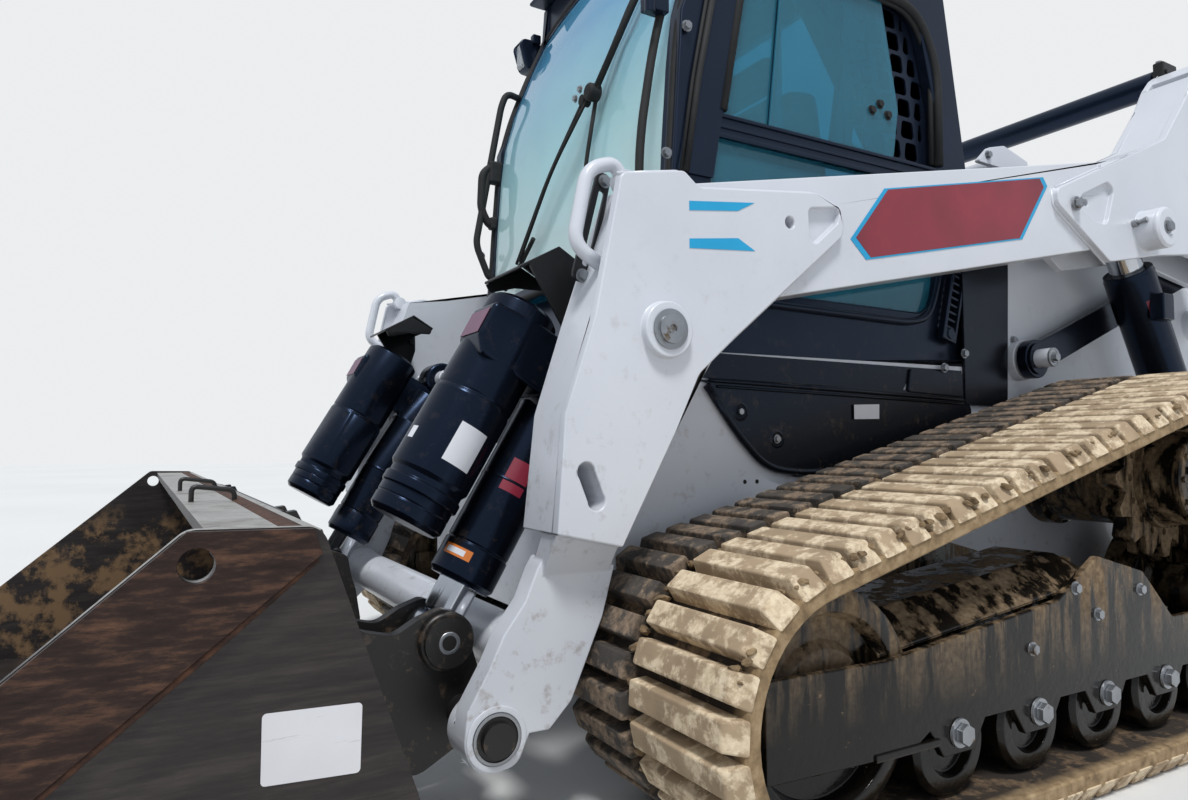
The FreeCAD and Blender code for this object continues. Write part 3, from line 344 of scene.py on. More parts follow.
fine = add(tree, "ShaderNodeMapping", Vector=place, Scale=(1.0, 1.0, 5.0)).outputs["Vector"]
tree.links.new(ramp(tree, noise(tree, fine, 0.05, 9.0, 0.7), (0.3, "#241c1a"), (0.5, "#3a2c27"), (0.62, "#5c4336"),
                    (0.75, "#7c5a45")), body.inputs["Base Color"])
relief(tree, body, noise(tree, place, 0.006, 6.0), 0.0005)
rubber_seal, tree, body, place = finish_of("rubber_seal", 0.75)
tree.links.new(ramp(tree, noise(tree, place, 0.02), (0.3, "#141414"), (0.7, "#1d1d1d")), body.inputs["Base Color"])

# %% [markdown]
# The side glass is green-blue and fairly dark. The windscreen's colour is a painted reflection: pale at
# its foot and deepening to blue towards the roof, where it would mirror the sky.

# %% Glass
glass, tree, body, place = finish_of("tinted_side_glass", 0.03, 0.0, Transmission_Weight=0.78, IOR=1.45)
tree.links.new(ramp(tree, noise(tree, place, 0.5), (0.3, "#57b4cd"), (0.7, "#43a2bf")), body.inputs["Base Color"])

windscreen, tree, body, place = finish_of("windscreen_glass_painted_sky_reflection", 0.03, 0.0, Transmission_Weight=0.32, IOR=1.45)
height = add(tree, "ShaderNodeSeparateXYZ", Vector=place).outputs["Z"]
# The gradient from pale to blue with height is a painted reflection.
waver = add(tree, "ShaderNodeMath", {"operation": "MULTIPLY_ADD"}, i0=noise(tree, place, 0.5), i1=0.25, i2=height)
tree.links.new(ramp(tree, between(tree, waver.outputs[0], 1.2, 1.9), (0.0, "#e2f8f7"), (0.4, "#bce9ee"),
                    (0.9, "#5fa9d2")), body.inputs["Base Color"])

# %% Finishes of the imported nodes
FINISHES = {
    "white_paint": white_paint, "battery_case": case_grey, "black_covers": black_cover,
    "undercarriage_steel": frame_black, "track_rubber": track_rubber, "cab_paint": cab_paint,
    "window_glass": glass, "seat_cover": seat_vinyl, "lamp_glass": lamp_glass,
    "actuator_black": actuator_black, "rod_chrome": rod_chrome, "coupler_black": coupler_black,
    "bucket_steel": bucket_steel,
}
for part in frame["record"]["subparts"]:
    item = nodes[part["node"]]
    item.data.materials.clear()
    item.data.materials.append(FINISHES[part["material_slot"]])

# %% [markdown]
# Every new piece starts as a primitive and is shaped with edit-mode operators and
# modifiers, as one would by hand. These helpers keep that short: one starts clean, one
# writes a piece's place into its mesh, and one gives its edges the small radius that
# real plate, rubber and castings have, so that they catch light.

# %% Working habits


def start_clean():
    if bpy.context.mode != "OBJECT":
        bpy.ops.object.mode_set(mode="OBJECT")
    bpy.ops.object.select_all(action="DESELECT")


def choose(item):
    start_clean()
    item.select_set(True)
    bpy.context.view_layer.objects.active = item


def settle(item):
    """Writes the object's place, turn and scale into its mesh."""
    choose(item)
    bpy.ops.object.transform_apply(location=True, rotation=True, scale=True)
    return item


def outward(item):
    """Merges doubles and turns all faces outwards."""
    choose(item)
    bpy.ops.object.mode_set(mode="EDIT")
    bpy.ops.mesh.select_all(action="SELECT")
    bpy.ops.mesh.remove_doubles(threshold=0.00002)
    bpy.ops.mesh.normals_make_consistent(inside=False)
    bpy.ops.object.mode_set(mode="OBJECT")
    return item


def soft_edges(item, width, steps=2, angle=32, held=False):
    """Rounds the sharp edges by a width in millimetres and shades the rest smooth.

    A held piece keeps its bevels short where its edges are short.
    """
    choose(item)
    if width:
        edge = item.modifiers.new("edge", "BEVEL")
        edge.width = width / 1000
        edge.segments = steps
        edge.limit_method = "ANGLE"
        edge.angle_limit = math.radians(angle)
        edge.use_clamp_overlap = held
        bpy.ops.object.modifier_apply(modifier="edge")
    bpy.ops.object.shade_smooth_by_angle(angle=math.radians(38))
    weight = item.modifiers.new("weight", "WEIGHTED_NORMAL")
    weight.keep_sharp = True
    bpy.ops.object.modifier_apply(modifier="weight")
    return item


def merged(items, name):
    start_clean()
    for item in items:
        item.select_set(True)
    bpy.context.view_layer.objects.active = items[0]
    if len(items) > 1:
        bpy.ops.object.join()
    items[0].name = name
    items[0].data.name = name
    return items[0]


def copy_of(item):
    choose(item)
    bpy.ops.object.duplicate()
    return bpy.context.object


def other_side(item):
    """A copy mirrored to the machine's right side."""
    twin = copy_of(item)
    twin.scale = (1, -1, 1)
    settle(twin)
    return outward(twin)


def both_sides(item, name):
    return merged([item, other_side(item)], name)


def dress(item, finish, body, slot, *stands_for):
    """Gives a finished piece its material and its CAD body, and hides the nodes it stands for."""
    item.data.materials.clear()
    item.data.materials.append(finish)
    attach(item, body)
    if stands_for:
        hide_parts(*stands_for)
    return item


# %% [markdown]
# Steel plates are cut from sheet, so a plate starts as a filled circle with one corner
# per outline corner, its corners are set to the drawing, and it is extruded by its
# thickness. Outlines are X, Z in millimetres, with an optional corner radius.

# %% Plates


def eased(points, steps=5):
    """The outline with each corner that has a radius turned to a short arc."""
    result = []
    for i, point in enumerate(points):
        corner = Vector(point[:2])
        if len(point) < 3:
            result.append(corner)
            continue
        back = Vector(points[i - 1][:2]) - corner
        ahead = Vector(points[(i + 1) % len(points)][:2]) - corner
        half = back.angle(ahead) / 2
        reach = min(point[2] / math.tan(half), back.length * 0.48, ahead.length * 0.48)
        radius = reach * math.tan(half)
        centre = corner + (back.normalized() + ahead.normalized()).normalized() * radius / math.sin(half)
        first = corner + back.normalized() * reach - centre
        last = corner + ahead.normalized() * reach - centre
        for k in range(steps + 1):
            result.append(centre + first.lerp(last, k / steps).normalized() * radius)
    return result


def cut_plate(points, low, high, steps=5):
    """A plate between two Y places."""
    corners = eased(points, steps)
    start_clean()
    bpy.ops.mesh.primitive_circle_add(vertices=len(corners), fill_type="NGON")
    item = bpy.context.object
    for vertex, corner in zip(item.data.vertices, corners):
        vertex.co = (corner[0] / 1000, low / 1000, corner[1] / 1000)
    bpy.ops.object.mode_set(mode="EDIT")
    bpy.ops.mesh.select_all(action="SELECT")
    bpy.ops.mesh.extrude_region_move(TRANSFORM_OT_translate={"value": (0, (high - low) / 1000, 0)})
    bpy.ops.object.mode_set(mode="OBJECT")
    return outward(item)


def box(x, y, z):
    """A cube stretched between (low, high) pairs in millimetres."""
    start_clean()
    bpy.ops.mesh.primitive_cube_add(size=1)
    item = bpy.context.object
    item.location = [(pair[0] + pair[1]) / 2000 for pair in (x, y, z)]
    item.scale = [(pair[1] - pair[0]) / 1000 for pair in (x, y, z)]
    return settle(item)


def cut_out(item, tool):
    """Cuts the tool's shape out of the item."""
    choose(item)
    cut = item.modifiers.new("cut", "BOOLEAN")
    cut.operation = "DIFFERENCE"
    cut.object = tool
    bpy.ops.object.modifier_apply(modifier="cut")
    bpy.data.objects.remove(tool)
    return item


# %% [markdown]
# Tubes, collars, caps and pins are turned parts. A turned part starts as a cone stub,
# and its end face is extruded and resized from step to step along the axis, like a
# profile on a lathe.

# %% Turned parts


def turned(a, b, steps, sides=40):
    """A turned part on the line from a to b. Steps are (distance along, radius), all in mm."""
    start_clean()
    (z0, r0), (z1, r1) = steps[0], steps[1]
    bpy.ops.mesh.primitive_cone_add(vertices=sides, radius1=r0 / 1000, radius2=r1 / 1000,
                                    depth=(z1 - z0) / 1000, location=(0, 0, (z0 + z1) / 2000))
    item = settle(bpy.context.object)
    bpy.ops.object.mode_set(mode="EDIT")
    mesh = bmesh.from_edit_mesh(item.data)
    bpy.ops.mesh.select_all(action="DESELECT")
    max((f for f in mesh.faces if len(f.verts) == sides), key=lambda f: f.calc_center_median().z).select_set(True)
    bmesh.update_edit_mesh(item.data)
    for z, r in steps[2:]:
        bpy.ops.mesh.extrude_region_move(TRANSFORM_OT_translate={"value": (0, 0, (z - z1) / 1000)})
        bpy.ops.transform.resize(value=(r / r1, r / r1, 1), center_override=(0, 0, z / 1000))
        z1, r1 = z, r
    bpy.ops.object.mode_set(mode="OBJECT")
    line = Vector(b) - Vector(a)
    item.rotation_mode = "QUATERNION"
    item.rotation_quaternion = Vector((0, 0, 1)).rotation_difference(line)
    item.location = Vector(a) / 1000
    return settle(item)


def on_side(at, low, steps, sides=40):
    """A turned part that points to the machine's left from Y = low."""
    return turned((at[0], low, at[1]), (at[0], low + 100, at[1]), steps, sides)


def bent_tube(points, radius, ease=30, closed=False):
    """A round bar bent through 3-D points given in millimetres."""
    path = []
    count = len(points)
    for i, point in enumerate(points):
        corner = Vector(point)
        if not closed and i in (0, count - 1):
            path.append(corner)
            continue
        back = Vector(points[i - 1]) - corner
        ahead = Vector(points[(i + 1) % count]) - corner
        reach = min(ease, back.length * 0.48, ahead.length * 0.48)
        first = corner + back.normalized() * reach
        last = corner + ahead.normalized() * reach
        for k in range(7):
            t = k / 6
            path.append(first * (1 - t) ** 2 + corner * 2 * t * (1 - t) + last * t * t)
    if len(path) == 2:
        path.insert(1, (path[0] + path[1]) / 2)
    start_clean()
    bpy.ops.mesh.primitive_circle_add(vertices=len(path), fill_type="NOTHING")
    item = bpy.context.object
    for vertex, place in zip(item.data.vertices, path):
        vertex.co = place / 1000
    if not closed:
        bpy.ops.object.mode_set(mode="EDIT")
        bpy.ops.mesh.select_all(action="DESELECT")
        mesh = bmesh.from_edit_mesh(item.data)
        mesh.verts.ensure_lookup_table()
        ends = {mesh.verts[0], mesh.verts[-1]}
        [edge for edge in mesh.edges if set(edge.verts) == ends][0].select_set(True)
        bmesh.update_edit_mesh(item.data)
        bpy.ops.mesh.delete(type="EDGE_FACE")
        bpy.ops.object.mode_set(mode="OBJECT")
    bpy.ops.object.convert(target="CURVE")
    item = bpy.context.object
    item.data.bevel_depth = radius / 1000
    item.data.bevel_resolution = 3
    item.data.use_fill_caps = True
    bpy.ops.object.convert(target="MESH")
    item = bpy.context.object
    choose(item)
    bpy.ops.object.shade_smooth_by_angle(angle=math.radians(40))
    return outward(item)


# %% [markdown]
# One hexagon bolt is modelled with its washer, then copied wherever the machine has
# one. A bolt starts as a six-sided cylinder whose end is inset and bevelled.

# %% Bolts


def bolt_head(size=10):
    start_clean()
    bpy.ops.mesh.primitive_cylinder_add(vertices=6, radius=size / 1000, depth=size * 0.75 / 1000,
                                        location=(0, 0, size * 0.6 / 1000))
    head = soft_edges(settle(bpy.context.object), size * 0.1)
    washer = turned((0, 0, 0), (0, 0, 1), [(0, size * 1.35), (size * 0.22, size * 1.3)], 20)
    return merged([head, washer], "bolt_master")


def bolted(places, size=10):
    """Copies of one bolt at (point, direction) places."""
    master = bolt_head(size)
    copies = []
    for at, way in places:
        item = copy_of(master)
        item.rotation_mode = "QUATERNION"
        spin = Vector(way).to_track_quat("Z", "Y")
        item.rotation_quaternion = spin
        item.location = Vector(at) / 1000
        copies.append(settle(item))
    bpy.data.objects.remove(master)
    return copies


LEFT = (0, 1, 0)
FRONT = (1, 0, 0)
UP = (0, 0, 1)


def dressed_node(name, width, steps=2, held=False):
    """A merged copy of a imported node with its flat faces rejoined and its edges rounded."""
    choose(nodes[name])
    bpy.ops.object.duplicate()
    item = bpy.context.object
    bpy.ops.object.parent_clear(type="CLEAR_KEEP_TRANSFORM")
    for key in list(item.keys()):
        del item[key]
    settle(item)
    bpy.ops.object.mode_set(mode="EDIT")
    bpy.ops.mesh.select_all(action="SELECT")
    bpy.ops.mesh.remove_doubles(threshold=0.00002)
    bpy.ops.mesh.dissolve_limited(angle_limit=math.radians(1))
    bpy.ops.object.mode_set(mode="OBJECT")
    if width:
        soft_edges(item, width, steps, 32, held)
    item.name = name + "_piece"
    return item

# %% [markdown]
# The rubber track runs round a front idler, a rear idler and the raised drive sprocket.
# The belt is a ring of edges laid along that path, widened and thickened. The lugs are
# one moulded block copied round the path: a short row inside and a long row outside,
# half a pitch apart, with an earth-filled groove between them.

# %% Path of the track
TRACK_IN, TRACK_OUT = 540, 990
BELT, LUG = 28, 26
LUGS = 80
WHEELS = [(-1120, 227, 173), (333, 227, 173), (-909, 529, 191)]


def track_runs(extra):
    """Straight runs of the path grown outwards by extra, as start, end and outward angle."""
    runs = []
    for i in range(3):
        ax, az, ar = WHEELS[i]
        bx, bz, br = WHEELS[(i + 1) % 3]
        far = math.hypot(bx - ax, bz - az)
        side = math.atan2(bz - az, bx - ax) - math.pi / 2 - math.asin((br - ar) / far)
        out = Vector((math.cos(side), math.sin(side)))
        runs.append((Vector((ax, az)) + out * (ar + extra), Vector((bx, bz)) + out * (br + extra), side))
    return runs


def along_track(extra, count, offset=0.0):
    """Evenly spaced places (x, z, outward angle) on the path."""
    runs = track_runs(extra)
    stretches = []
    for i in range(3):
        start, end, side = runs[i]
        stretches.append((start, end, side, (end - start).length, None))
        turn = (runs[(i + 1) % 3][2] - side) % (2 * math.pi)
        x, z, r = WHEELS[(i + 1) % 3]
        stretches.append((Vector((x, z)), r + extra, side, (r + extra) * turn, turn))
    whole = sum(s[3] for s in stretches)
    places = []
    for k in range(count):
        left = ((k + offset) * whole / count) % whole
        for first, second, side, length, turn in stretches:
            if left > length:
                left -= length
            elif turn is None:
                at = first.lerp(second, left / length)
                places.append((at[0], at[1], side))
                break
            else:
                angle = side + left / second
                places.append((first[0] + second * math.cos(angle), first[1] + second * math.sin(angle), angle))
                break
    return places


print("pitch of the lugs:", round(sum((Vector(a[:2]) - Vector(b[:2])).length
      for a, b in zip(along_track(BELT, 400), along_track(BELT, 400, 1.0))) / LUGS, 1), "mm")

# %% Belt


def ring_of(places, low, high, thick, name):
    """A closed band along the places, between two Y places."""
    start_clean()
    bpy.ops.mesh.primitive_circle_add(vertices=len(places), fill_type="NOTHING")
    item = bpy.context.object
    for vertex, (x, z, _) in zip(item.data.vertices, places):
        vertex.co = (x / 1000, low / 1000, z / 1000)
    bpy.ops.object.mode_set(mode="EDIT")
    bpy.ops.mesh.select_all(action="SELECT")
    bpy.ops.mesh.extrude_edges_move(TRANSFORM_OT_translate={"value": (0, (high - low) / 1000, 0)})
    bpy.ops.object.mode_set(mode="OBJECT")
    outward(item)
    wall = item.modifiers.new("wall", "SOLIDIFY")
    wall.thickness = thick / 1000
    wall.offset = -1
    choose(item)
    bpy.ops.object.modifier_apply(modifier="wall")
    item.name = name
    return outward(item)


belt = soft_edges(ring_of(along_track(BELT, 174), TRACK_IN + 6, TRACK_OUT - 6, BELT - 1, "belt"), 3, 1)

# %% Lugs


def lug(half, low, high, open_end):
    """One tread lug, its foot at the origin, with a long slope at its open end."""
    start_clean()
    bpy.ops.mesh.primitive_cube_add(size=1, location=(0, (low + high) / 2000, (LUG - 6) / 2000))
    item = bpy.context.object
    item.scale = (2 * half / 1000, (high - low) / 1000, (LUG + 6) / 1000)
    settle(item)
    bpy.ops.object.mode_set(mode="EDIT")
    mesh = bmesh.from_edit_mesh(item.data)
    bpy.ops.mesh.select_all(action="DESELECT")
    for face in mesh.faces:
        face.select_set(face.normal.z > 0.9)
    bmesh.update_edit_mesh(item.data)
    bpy.ops.transform.resize(value=(0.84, 1, 1), center_override=(0, 0, 0))
    for vertex in mesh.verts:
        if vertex.co.z > 0 and abs(vertex.co.y * 1000 - open_end) < 1:
            vertex.co.y += math.copysign(0.020, (low + high) / 2 - open_end)
    bmesh.update_edit_mesh(item.data)
    bpy.ops.object.mode_set(mode="OBJECT")
    return soft_edges(item, 4, 2)


def laid_along(master, places):
    copies = []
    for x, z, angle in places:
        item = copy_of(master)
        item.location = (x / 1000, 0, z / 1000)
        item.rotation_euler = (0, math.pi / 2 - angle + random.uniform(-0.006, 0.006), 0)
        copies.append(settle(item))
    bpy.data.objects.remove(master)
    return copies


inner_row = laid_along(lug(22, TRACK_IN + 2, TRACK_IN + 190, TRACK_IN + 2), along_track(BELT, LUGS))
outer_row = laid_along(lug(23, TRACK_IN + 212, TRACK_OUT - 2, TRACK_OUT - 2), along_track(BELT, LUGS, 0.5))
belt.name = "left_belt"
right_belt = other_side(belt)
right_belt.name = "right_belt"
dress(belt, track_rubber, "chassis", "track_rubber", "left_track")
dress(right_belt, track_rubber, "chassis", "track_rubber", "right_track")
inner_lugs = both_sides(merged(inner_row, "inner_row"), "inner_lugs")
outer_lugs = both_sides(merged(outer_row, "outer_row"), "outer_lugs")
dress(inner_lugs, inner_lugs_painted_shadow, "chassis", "track_rubber")
dress(outer_lugs, outer_lugs_painted_sunlit, "chassis", "track_rubber")
print("lug faces:", len(inner_lugs.data.polygons), len(outer_lugs.data.polygons))

# %% [markdown]
# Wet earth packs into the groove between the lug rows and along the belt's edge, and
# falls in crumbs on the track frame. A crumb starts as a small ball, some of its faces
# pulled out, and is scattered with a fixed seed.

# %% Packed earth


def crumb(size):
    start_clean()
    bpy.ops.mesh.primitive_ico_sphere_add(subdivisions=2, radius=size / 1000)
    item = bpy.context.object
    for vertex in item.data.vertices:
        vertex.co *= random.uniform(0.72, 1.12)
    item.scale = (1.0, 1.0, 0.6)
    return settle(item)


def scattered(places, sizes):
    items = []
    masters = [crumb(10) for _ in range(4)]
    for x, y, z in places:
        item = copy_of(random.choice(masters))
        item.location = (x / 1000, y / 1000, z / 1000)
        grow = random.uniform(*sizes) / 10
        item.scale = (grow, grow * random.uniform(0.7, 1.5), grow)
        item.rotation_euler = (random.uniform(-0.4, 0.4), random.uniform(-0.4, 0.4), random.uniform(0, 6.28))
        items.append(settle(item))
    for item in masters:
        bpy.data.objects.remove(item)
    return items


groove = [(x, TRACK_IN + 201 + random.uniform(-7, 7), z) for x, z, a in along_track(BELT + 12, 170)
          if random.random() < 0.9]
edge_crumbs = [(x, TRACK_OUT - 14 + random.uniform(-20, 6), z) for x, z, a in along_track(BELT + 15, 330)
               if z > 300 and random.random() < 0.6]
deck_crumbs = [(random.uniform(-420, 90), random.gauss(830, 35), 0) for _ in range(150)]
deck_crumbs = [(x, min(max(y, 745), 905), 287 + (0.16 * (90 - x)) * (1 - abs(y - 830) / 90) + random.uniform(0, 12))
               for x, y, _ in deck_crumbs]
earth = merged(scattered(groove, (8, 14)) + scattered(edge_crumbs, (4, 10)) + scattered(deck_crumbs, (7, 18)), "earth")
earth_pieces = both_sides(earth, "packed_earth")
choose(earth_pieces)
bpy.ops.object.shade_flat()
dress(earth_pieces, dry_earth, "chassis", "track_rubber")
print("earth faces:", len(earth_pieces.data.polygons))

# %% [markdown]
# The track frame is folded plate: an upright outer cheek, a sloped shoulder over the
# rollers and a lobe under each roller's bolt. The shoulder starts as a box whose top
# edge is pushed inwards.

# %% Track frame


def shoulder():
    item = box((-600, 231), (742, 926), (270, 276))
    bpy.ops.object.mode_set(mode="EDIT")
    bpy.ops.mesh.select_all(action="SELECT")
    bpy.ops.mesh.subdivide(number_cuts=5)
    mesh = bmesh.from_edit_mesh(item.data)
    for vertex in mesh.verts:
        x, y = vertex.co.x * 1000, vertex.co.y * 1000
        rise = 16 + (231 - x) * 0.115 if x > -330 else 81 - (-330 - x) * 0.42
        inward = min(1.0, (926 - y) / 60)
        vertex.co.z += max(rise + 44 * inward * (1 if x > -500 else 0.2), 8) / 1000
    bmesh.update_edit_mesh(item.data)
    bpy.ops.object.mode_set(mode="OBJECT")
    return soft_edges(item, 2, 2)


frame_piece = dressed_node("track_frames", 2.5)
shoulders = both_sides(shoulder(), "shoulders")
scraper = both_sides(soft_edges(box((120, 262), (930, 948), (146, 158)), 3), "scraper")
track_frame_piece = merged([frame_piece, shoulders, scraper], "track_frame_piece")
dress(track_frame_piece, frame_black, "chassis", "undercarriage_steel", "track_frames")

roller_bolts = [((74 - 206 * k, 945, 158), LEFT) for k in range(5)]
small_bolts = [((x, 944, z), LEFT) for x, z in ((-250, 352), (-318, 300), (-462, 332), (-120, 262))]
frame_bolts = merged(bolted(roller_bolts, 17) + bolted(small_bolts, 9), "frame_bolts")
dress(both_sides(frame_bolts, "track_frame_bolts"), zinc_bolt, "chassis", "undercarriage_steel")

# %% Wheels, rollers and drive


def rimmed(name, width):
    return dressed_node(name, width)


wheel_pieces = []
for at, radius in (((333, 227), 172.5), ((-1120, 227), 172.5)):
    for low in (600, 840):
        wheel_pieces.append(on_side(at, low, [(0, radius - 16), (6, radius), (84, radius), (90, radius - 16),
                                              (90, radius - 34), (64, radius - 44), (64, 96), (78, 84), (78, 40)], 64))
    wheel_pieces.append(on_side(at, 660, [(0, 80), (200, 80)], 40))
idler_piece = both_sides(merged([soft_edges(item, 2) for item in wheel_pieces], "idlers"), "idler_wheels")
dress(idler_piece, frame_black, "chassis", "undercarriage_steel", "front_idlers", "rear_idlers")

roller_pieces = []
for k in range(5):
    at = (74 - 206 * k, 136.3)
    for low in (600, 850):
        roller_pieces.append(on_side(at, low, [(0, 74), (8, 82), (72, 82), (80, 74), (80, 52), (66, 46), (66, 20)], 48))
    roller_pieces.append(on_side(at, 660, [(0, 40), (200, 40)], 24))
roller_piece = both_sides(merged([soft_edges(item, 1.5) for item in roller_pieces], "rollers"), "track_rollers")
dress(roller_piece, frame_black, "chassis", "undercarriage_steel", "bottom_rollers")


def sprocket_plate():
    """A toothed plate: each tooth is a hump between two round roots."""
    outline = []
    for k in range(15):
        for share, radius in ((0.0, 188), (0.14, 188), (0.32, 164), (0.5, 152), (0.68, 164), (0.86, 188)):
            angle = 2 * math.pi * (k + share) / 15
            outline.append((-909 + radius * math.cos(angle), 529 + radius * math.sin(angle)))
    plate = cut_plate(outline, 730, 774)
    for k in range(15):
        angle = 2 * math.pi * (k + 0.03) / 15
        hole = on_side((-909 + 128 * math.cos(angle), 529 + 128 * math.sin(angle)), 720, [(0, 8), (70, 8)], 12)
        cut_out(plate, hole)
    return soft_edges(plate, 2)


dress(both_sides(sprocket_plate(), "sprocket_piece"), frame_black, "chassis", "undercarriage_steel", "drive_sprockets")
hub = soft_edges(on_side((-909, 529), 774.4, [(0, 118), (14, 118), (14, 111), (70, 106), (78, 112), (90, 112), (94, 108),
                                            (94, 92), (89, 90), (89, 44), (94, 42), (94, 0.5)], 64), 1)
drum_piece = soft_edges(on_side((-909, 529), 500.6, [(0, 127), (40, 127), (46, 116), (190, 116), (196, 127), (229, 127)],
                                64), 1.5)
hub_bolts = bolted([((-909 + 100 * math.cos(a), 867, 529 + 100 * math.sin(a)), LEFT)
                    for a in [math.pi * k / 6 for k in range(12)]], 7)
hub_bolts += bolted([((-909 + 62 * math.cos(a), 863, 529 + 62 * math.sin(a)), LEFT)
                     for a in [math.pi * k / 3 + 0.3 for k in range(6)]], 9)
hub_bolts.append(soft_edges(on_side((-909, 529), 867, [(0, 20), (14, 20), (14, 12), (4, 12)], 24), 1))
drive = merged([hub, drum_piece] + hub_bolts, "drive_half")
dress(both_sides(drive, "final_drive_piece"), frame_black, "chassis", "undercarriage_steel", "final_drives")

# %% [markdown]
# The lift arms are welded boxes: a long beam with rounded folds, a cheek plate welded on
# at the front and a casting at the rear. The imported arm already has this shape, so a
# merged copy of it gets rounded edges, and the pockets of the casting are cut into it.

# %% Lift arms


def arm_piece(name):
    arm = dressed_node(name, 0)
    side = 1 if name.startswith("left") else -1
    pockets = [
        ([(132, 1041, 12), (48, 1054, 10), (58, 1022, 16), (128, 964, 12)], 686),
        ([(-724, 1190, 22), (-880, 1258, 22), (-905, 1240, 16), (-868, 1146, 26), (-815, 1150, 26)], 688),
    ]
    for outline, floor_y in pockets:
        tool = cut_plate(outline, floor_y, 712)
        cut_out(arm, tool if side > 0 else other_side(tool))
        if side < 0:
            bpy.data.objects.remove(tool)
    for at, radius in (((-800, 1196), 9), ((178, 1007), 11)):
        tool = on_side(at, 640, [(0, radius), (80, radius)], 24)
        cut_out(arm, tool if side > 0 else other_side(tool))
        if side < 0:
            bpy.data.objects.remove(tool)
    return soft_edges(arm, 3, 2)


for name in ("left_lift_arm", "right_lift_arm"):
    dress(arm_piece(name), white_paint, "lift_arm", "white_paint", name)

# %% [markdown]
# Where plates meet they carry weld beads, thin ropes of metal under the paint.

# %% Weld beads and bosses of the arms


def bead(points, y, radius=3.2, closed=False):
    return bent_tube([(x, y, z) for x, z in points], radius, 12, closed)


welds = [
    bead([(536, 1041), (413, 1065), (381, 1041), (110, 1075), (33, 1052), (44, 996), (303, 788), (384, 720)], 685),
    bead([(-661, 1209), (-664, 1168), (-876, 1053)], 685),
    bead([(-676, 1214), (-994, 1350)], 685),
]
lift_cap = soft_edges(on_side((-1040, 1153), 743, [(0, 52), (8, 52), (14, 46), (14, 24), (10, 24)], 48), 1.5)
rear_cap = soft_edges(on_side((-1400, 1380), 711, [(0, 34), (6, 34), (6, 22), (12, 22)], 32), 1)
front_boss = soft_edges(on_side((722, 170), 646, [(0, 48), (2, 48), (3, 46), (3, 39), (0.5, 39)], 48), 0.6)
arm_details = merged(welds + [lift_cap, rear_cap, front_boss], "arm_details_half")
dress(both_sides(arm_details, "arm_welds"), white_paint, "lift_arm", "white_paint")

arm_steel = bolted([((-1040, 753, 1153), LEFT), ((-1400, 722, 1380), LEFT), ((-728, 705, 1178), LEFT)], 13)
arm_steel.append(soft_edges(on_side((455, 790), 716, [(0, 33), (4, 33), (4, 24), (9, 24), (9, 7), (5, 7)], 40), 0.8))
arm_steel.append(soft_edges(on_side((722, 170), 646.5, [(0, 38), (4, 38), (4, 33), (1, 33)], 48), 0.6))
arm_steel.append(turned((-985, 702, 1165), (-985, 760, 1175), [(0, 9), (10, 9), (10, 5), (26, 5), (26, 7), (32, 7)], 16))
dress(both_sides(merged(arm_steel, "arm_steel_half"), "arm_pins"), zinc_bolt, "lift_arm", "white_paint")

pin_end = soft_edges(on_side((722, 170), 646.5, [(0, 33), (2, 33), (3, 31), (3, 20), (6, 18), (6, 9), (1, 9)], 40), 0.6)
clamp = [soft_edges(box((-1478, -1398), (566, 596), (1640, 1738)), 5), soft_edges(box((-1470, -1406), (560, 602), (1700, 1712)), 2)]
dress(both_sides(merged([pin_end] + clamp, "pin_end"), "arm_pin_ends"), coupler_black, "lift_arm", "coupler_black")

# %% [markdown]
# A long six-sided panel of printed film lies on the beam. Its print is left out: a plain
# dark red field with a blue edge stays, and two short blue bands on the front cheek.

# %% Film panels
PANEL = [(8, 1002), (-90, 1117), (-630, 1231), (-646, 1212), (-542, 1072), (-520, 1068), (-34, 966)]
MIDDLE = Vector((-310, 1100))
inner_panel = [tuple(MIDDLE + (Vector(p) - MIDDLE) * 0.955) for p in PANEL]
edge_film = cut_plate(PANEL, 684.2, 685.0)
field_film = cut_plate(inner_panel, 684.6, 685.5)
dress(both_sides(edge_film, "panel_edge_film"), blue_film, "lift_arm", "white_paint")
dress(both_sides(field_film, "panel_field_film"), red_film, "lift_arm", "white_paint")
bands = [cut_plate([(404, 1012), (262, 1030), (300, 1010), (404, 996)], 700.2, 700.8),
         cut_plate([(404, 948), (300, 962), (262, 944), (404, 932)], 700.2, 700.8)]
dress(both_sides(merged(bands, "bands"), "cheek_bands"), blue_film, "lift_arm", "white_paint")
caution = cut_plate([(-1085, 1160, 6), (-1085, 1120, 6), (-1142, 1130, 6), (-1142, 1168, 6)], 700.2, 700.8)
dress(both_sides(caution, "yellow_labels"), yellow_film, "lift_arm", "white_paint")

# %% Handles, cross tubes and guards
grab = bent_tube([(505, 655, 1036), (522, 655, 1070), (574, 655, 1052), (600, 655, 925), (552, 655, 897)], 12, 34)
feet = [soft_edges(on_side((506, 1040), 640, [(0, 18), (30, 18)], 24), 2), ]
dress(both_sides(merged([grab] + feet, "grab"), "grab_handle_bars"), white_paint, "lift_arm", "white_paint", "grab_handles")
front_tube = turned((619, -599.6, 256), (619, 0, 256), [(0, 55), (14, 55), (58, 49), (1141, 49), (1185, 55), (1199, 55)], 56)
dress(soft_edges(front_tube, 1.5), white_paint, "lift_arm", "white_paint", "front_cross_tube")
rear_tube = turned((-1438, -559.6, 1690), (-1438, 0, 1690), [(0, 38), (1119, 38)], 48)
blocks = [box((-1468, -1408), (520, 559.6), (1610, 1690)), box((-1468, -1408), (-559.6, -520), (1610, 1690))]
dress(merged([soft_edges(item, 2) for item in [rear_tube] + blocks], "rear_tube"), cab_paint, "lift_arm", "cab_paint",
      "rear_cross_tube")
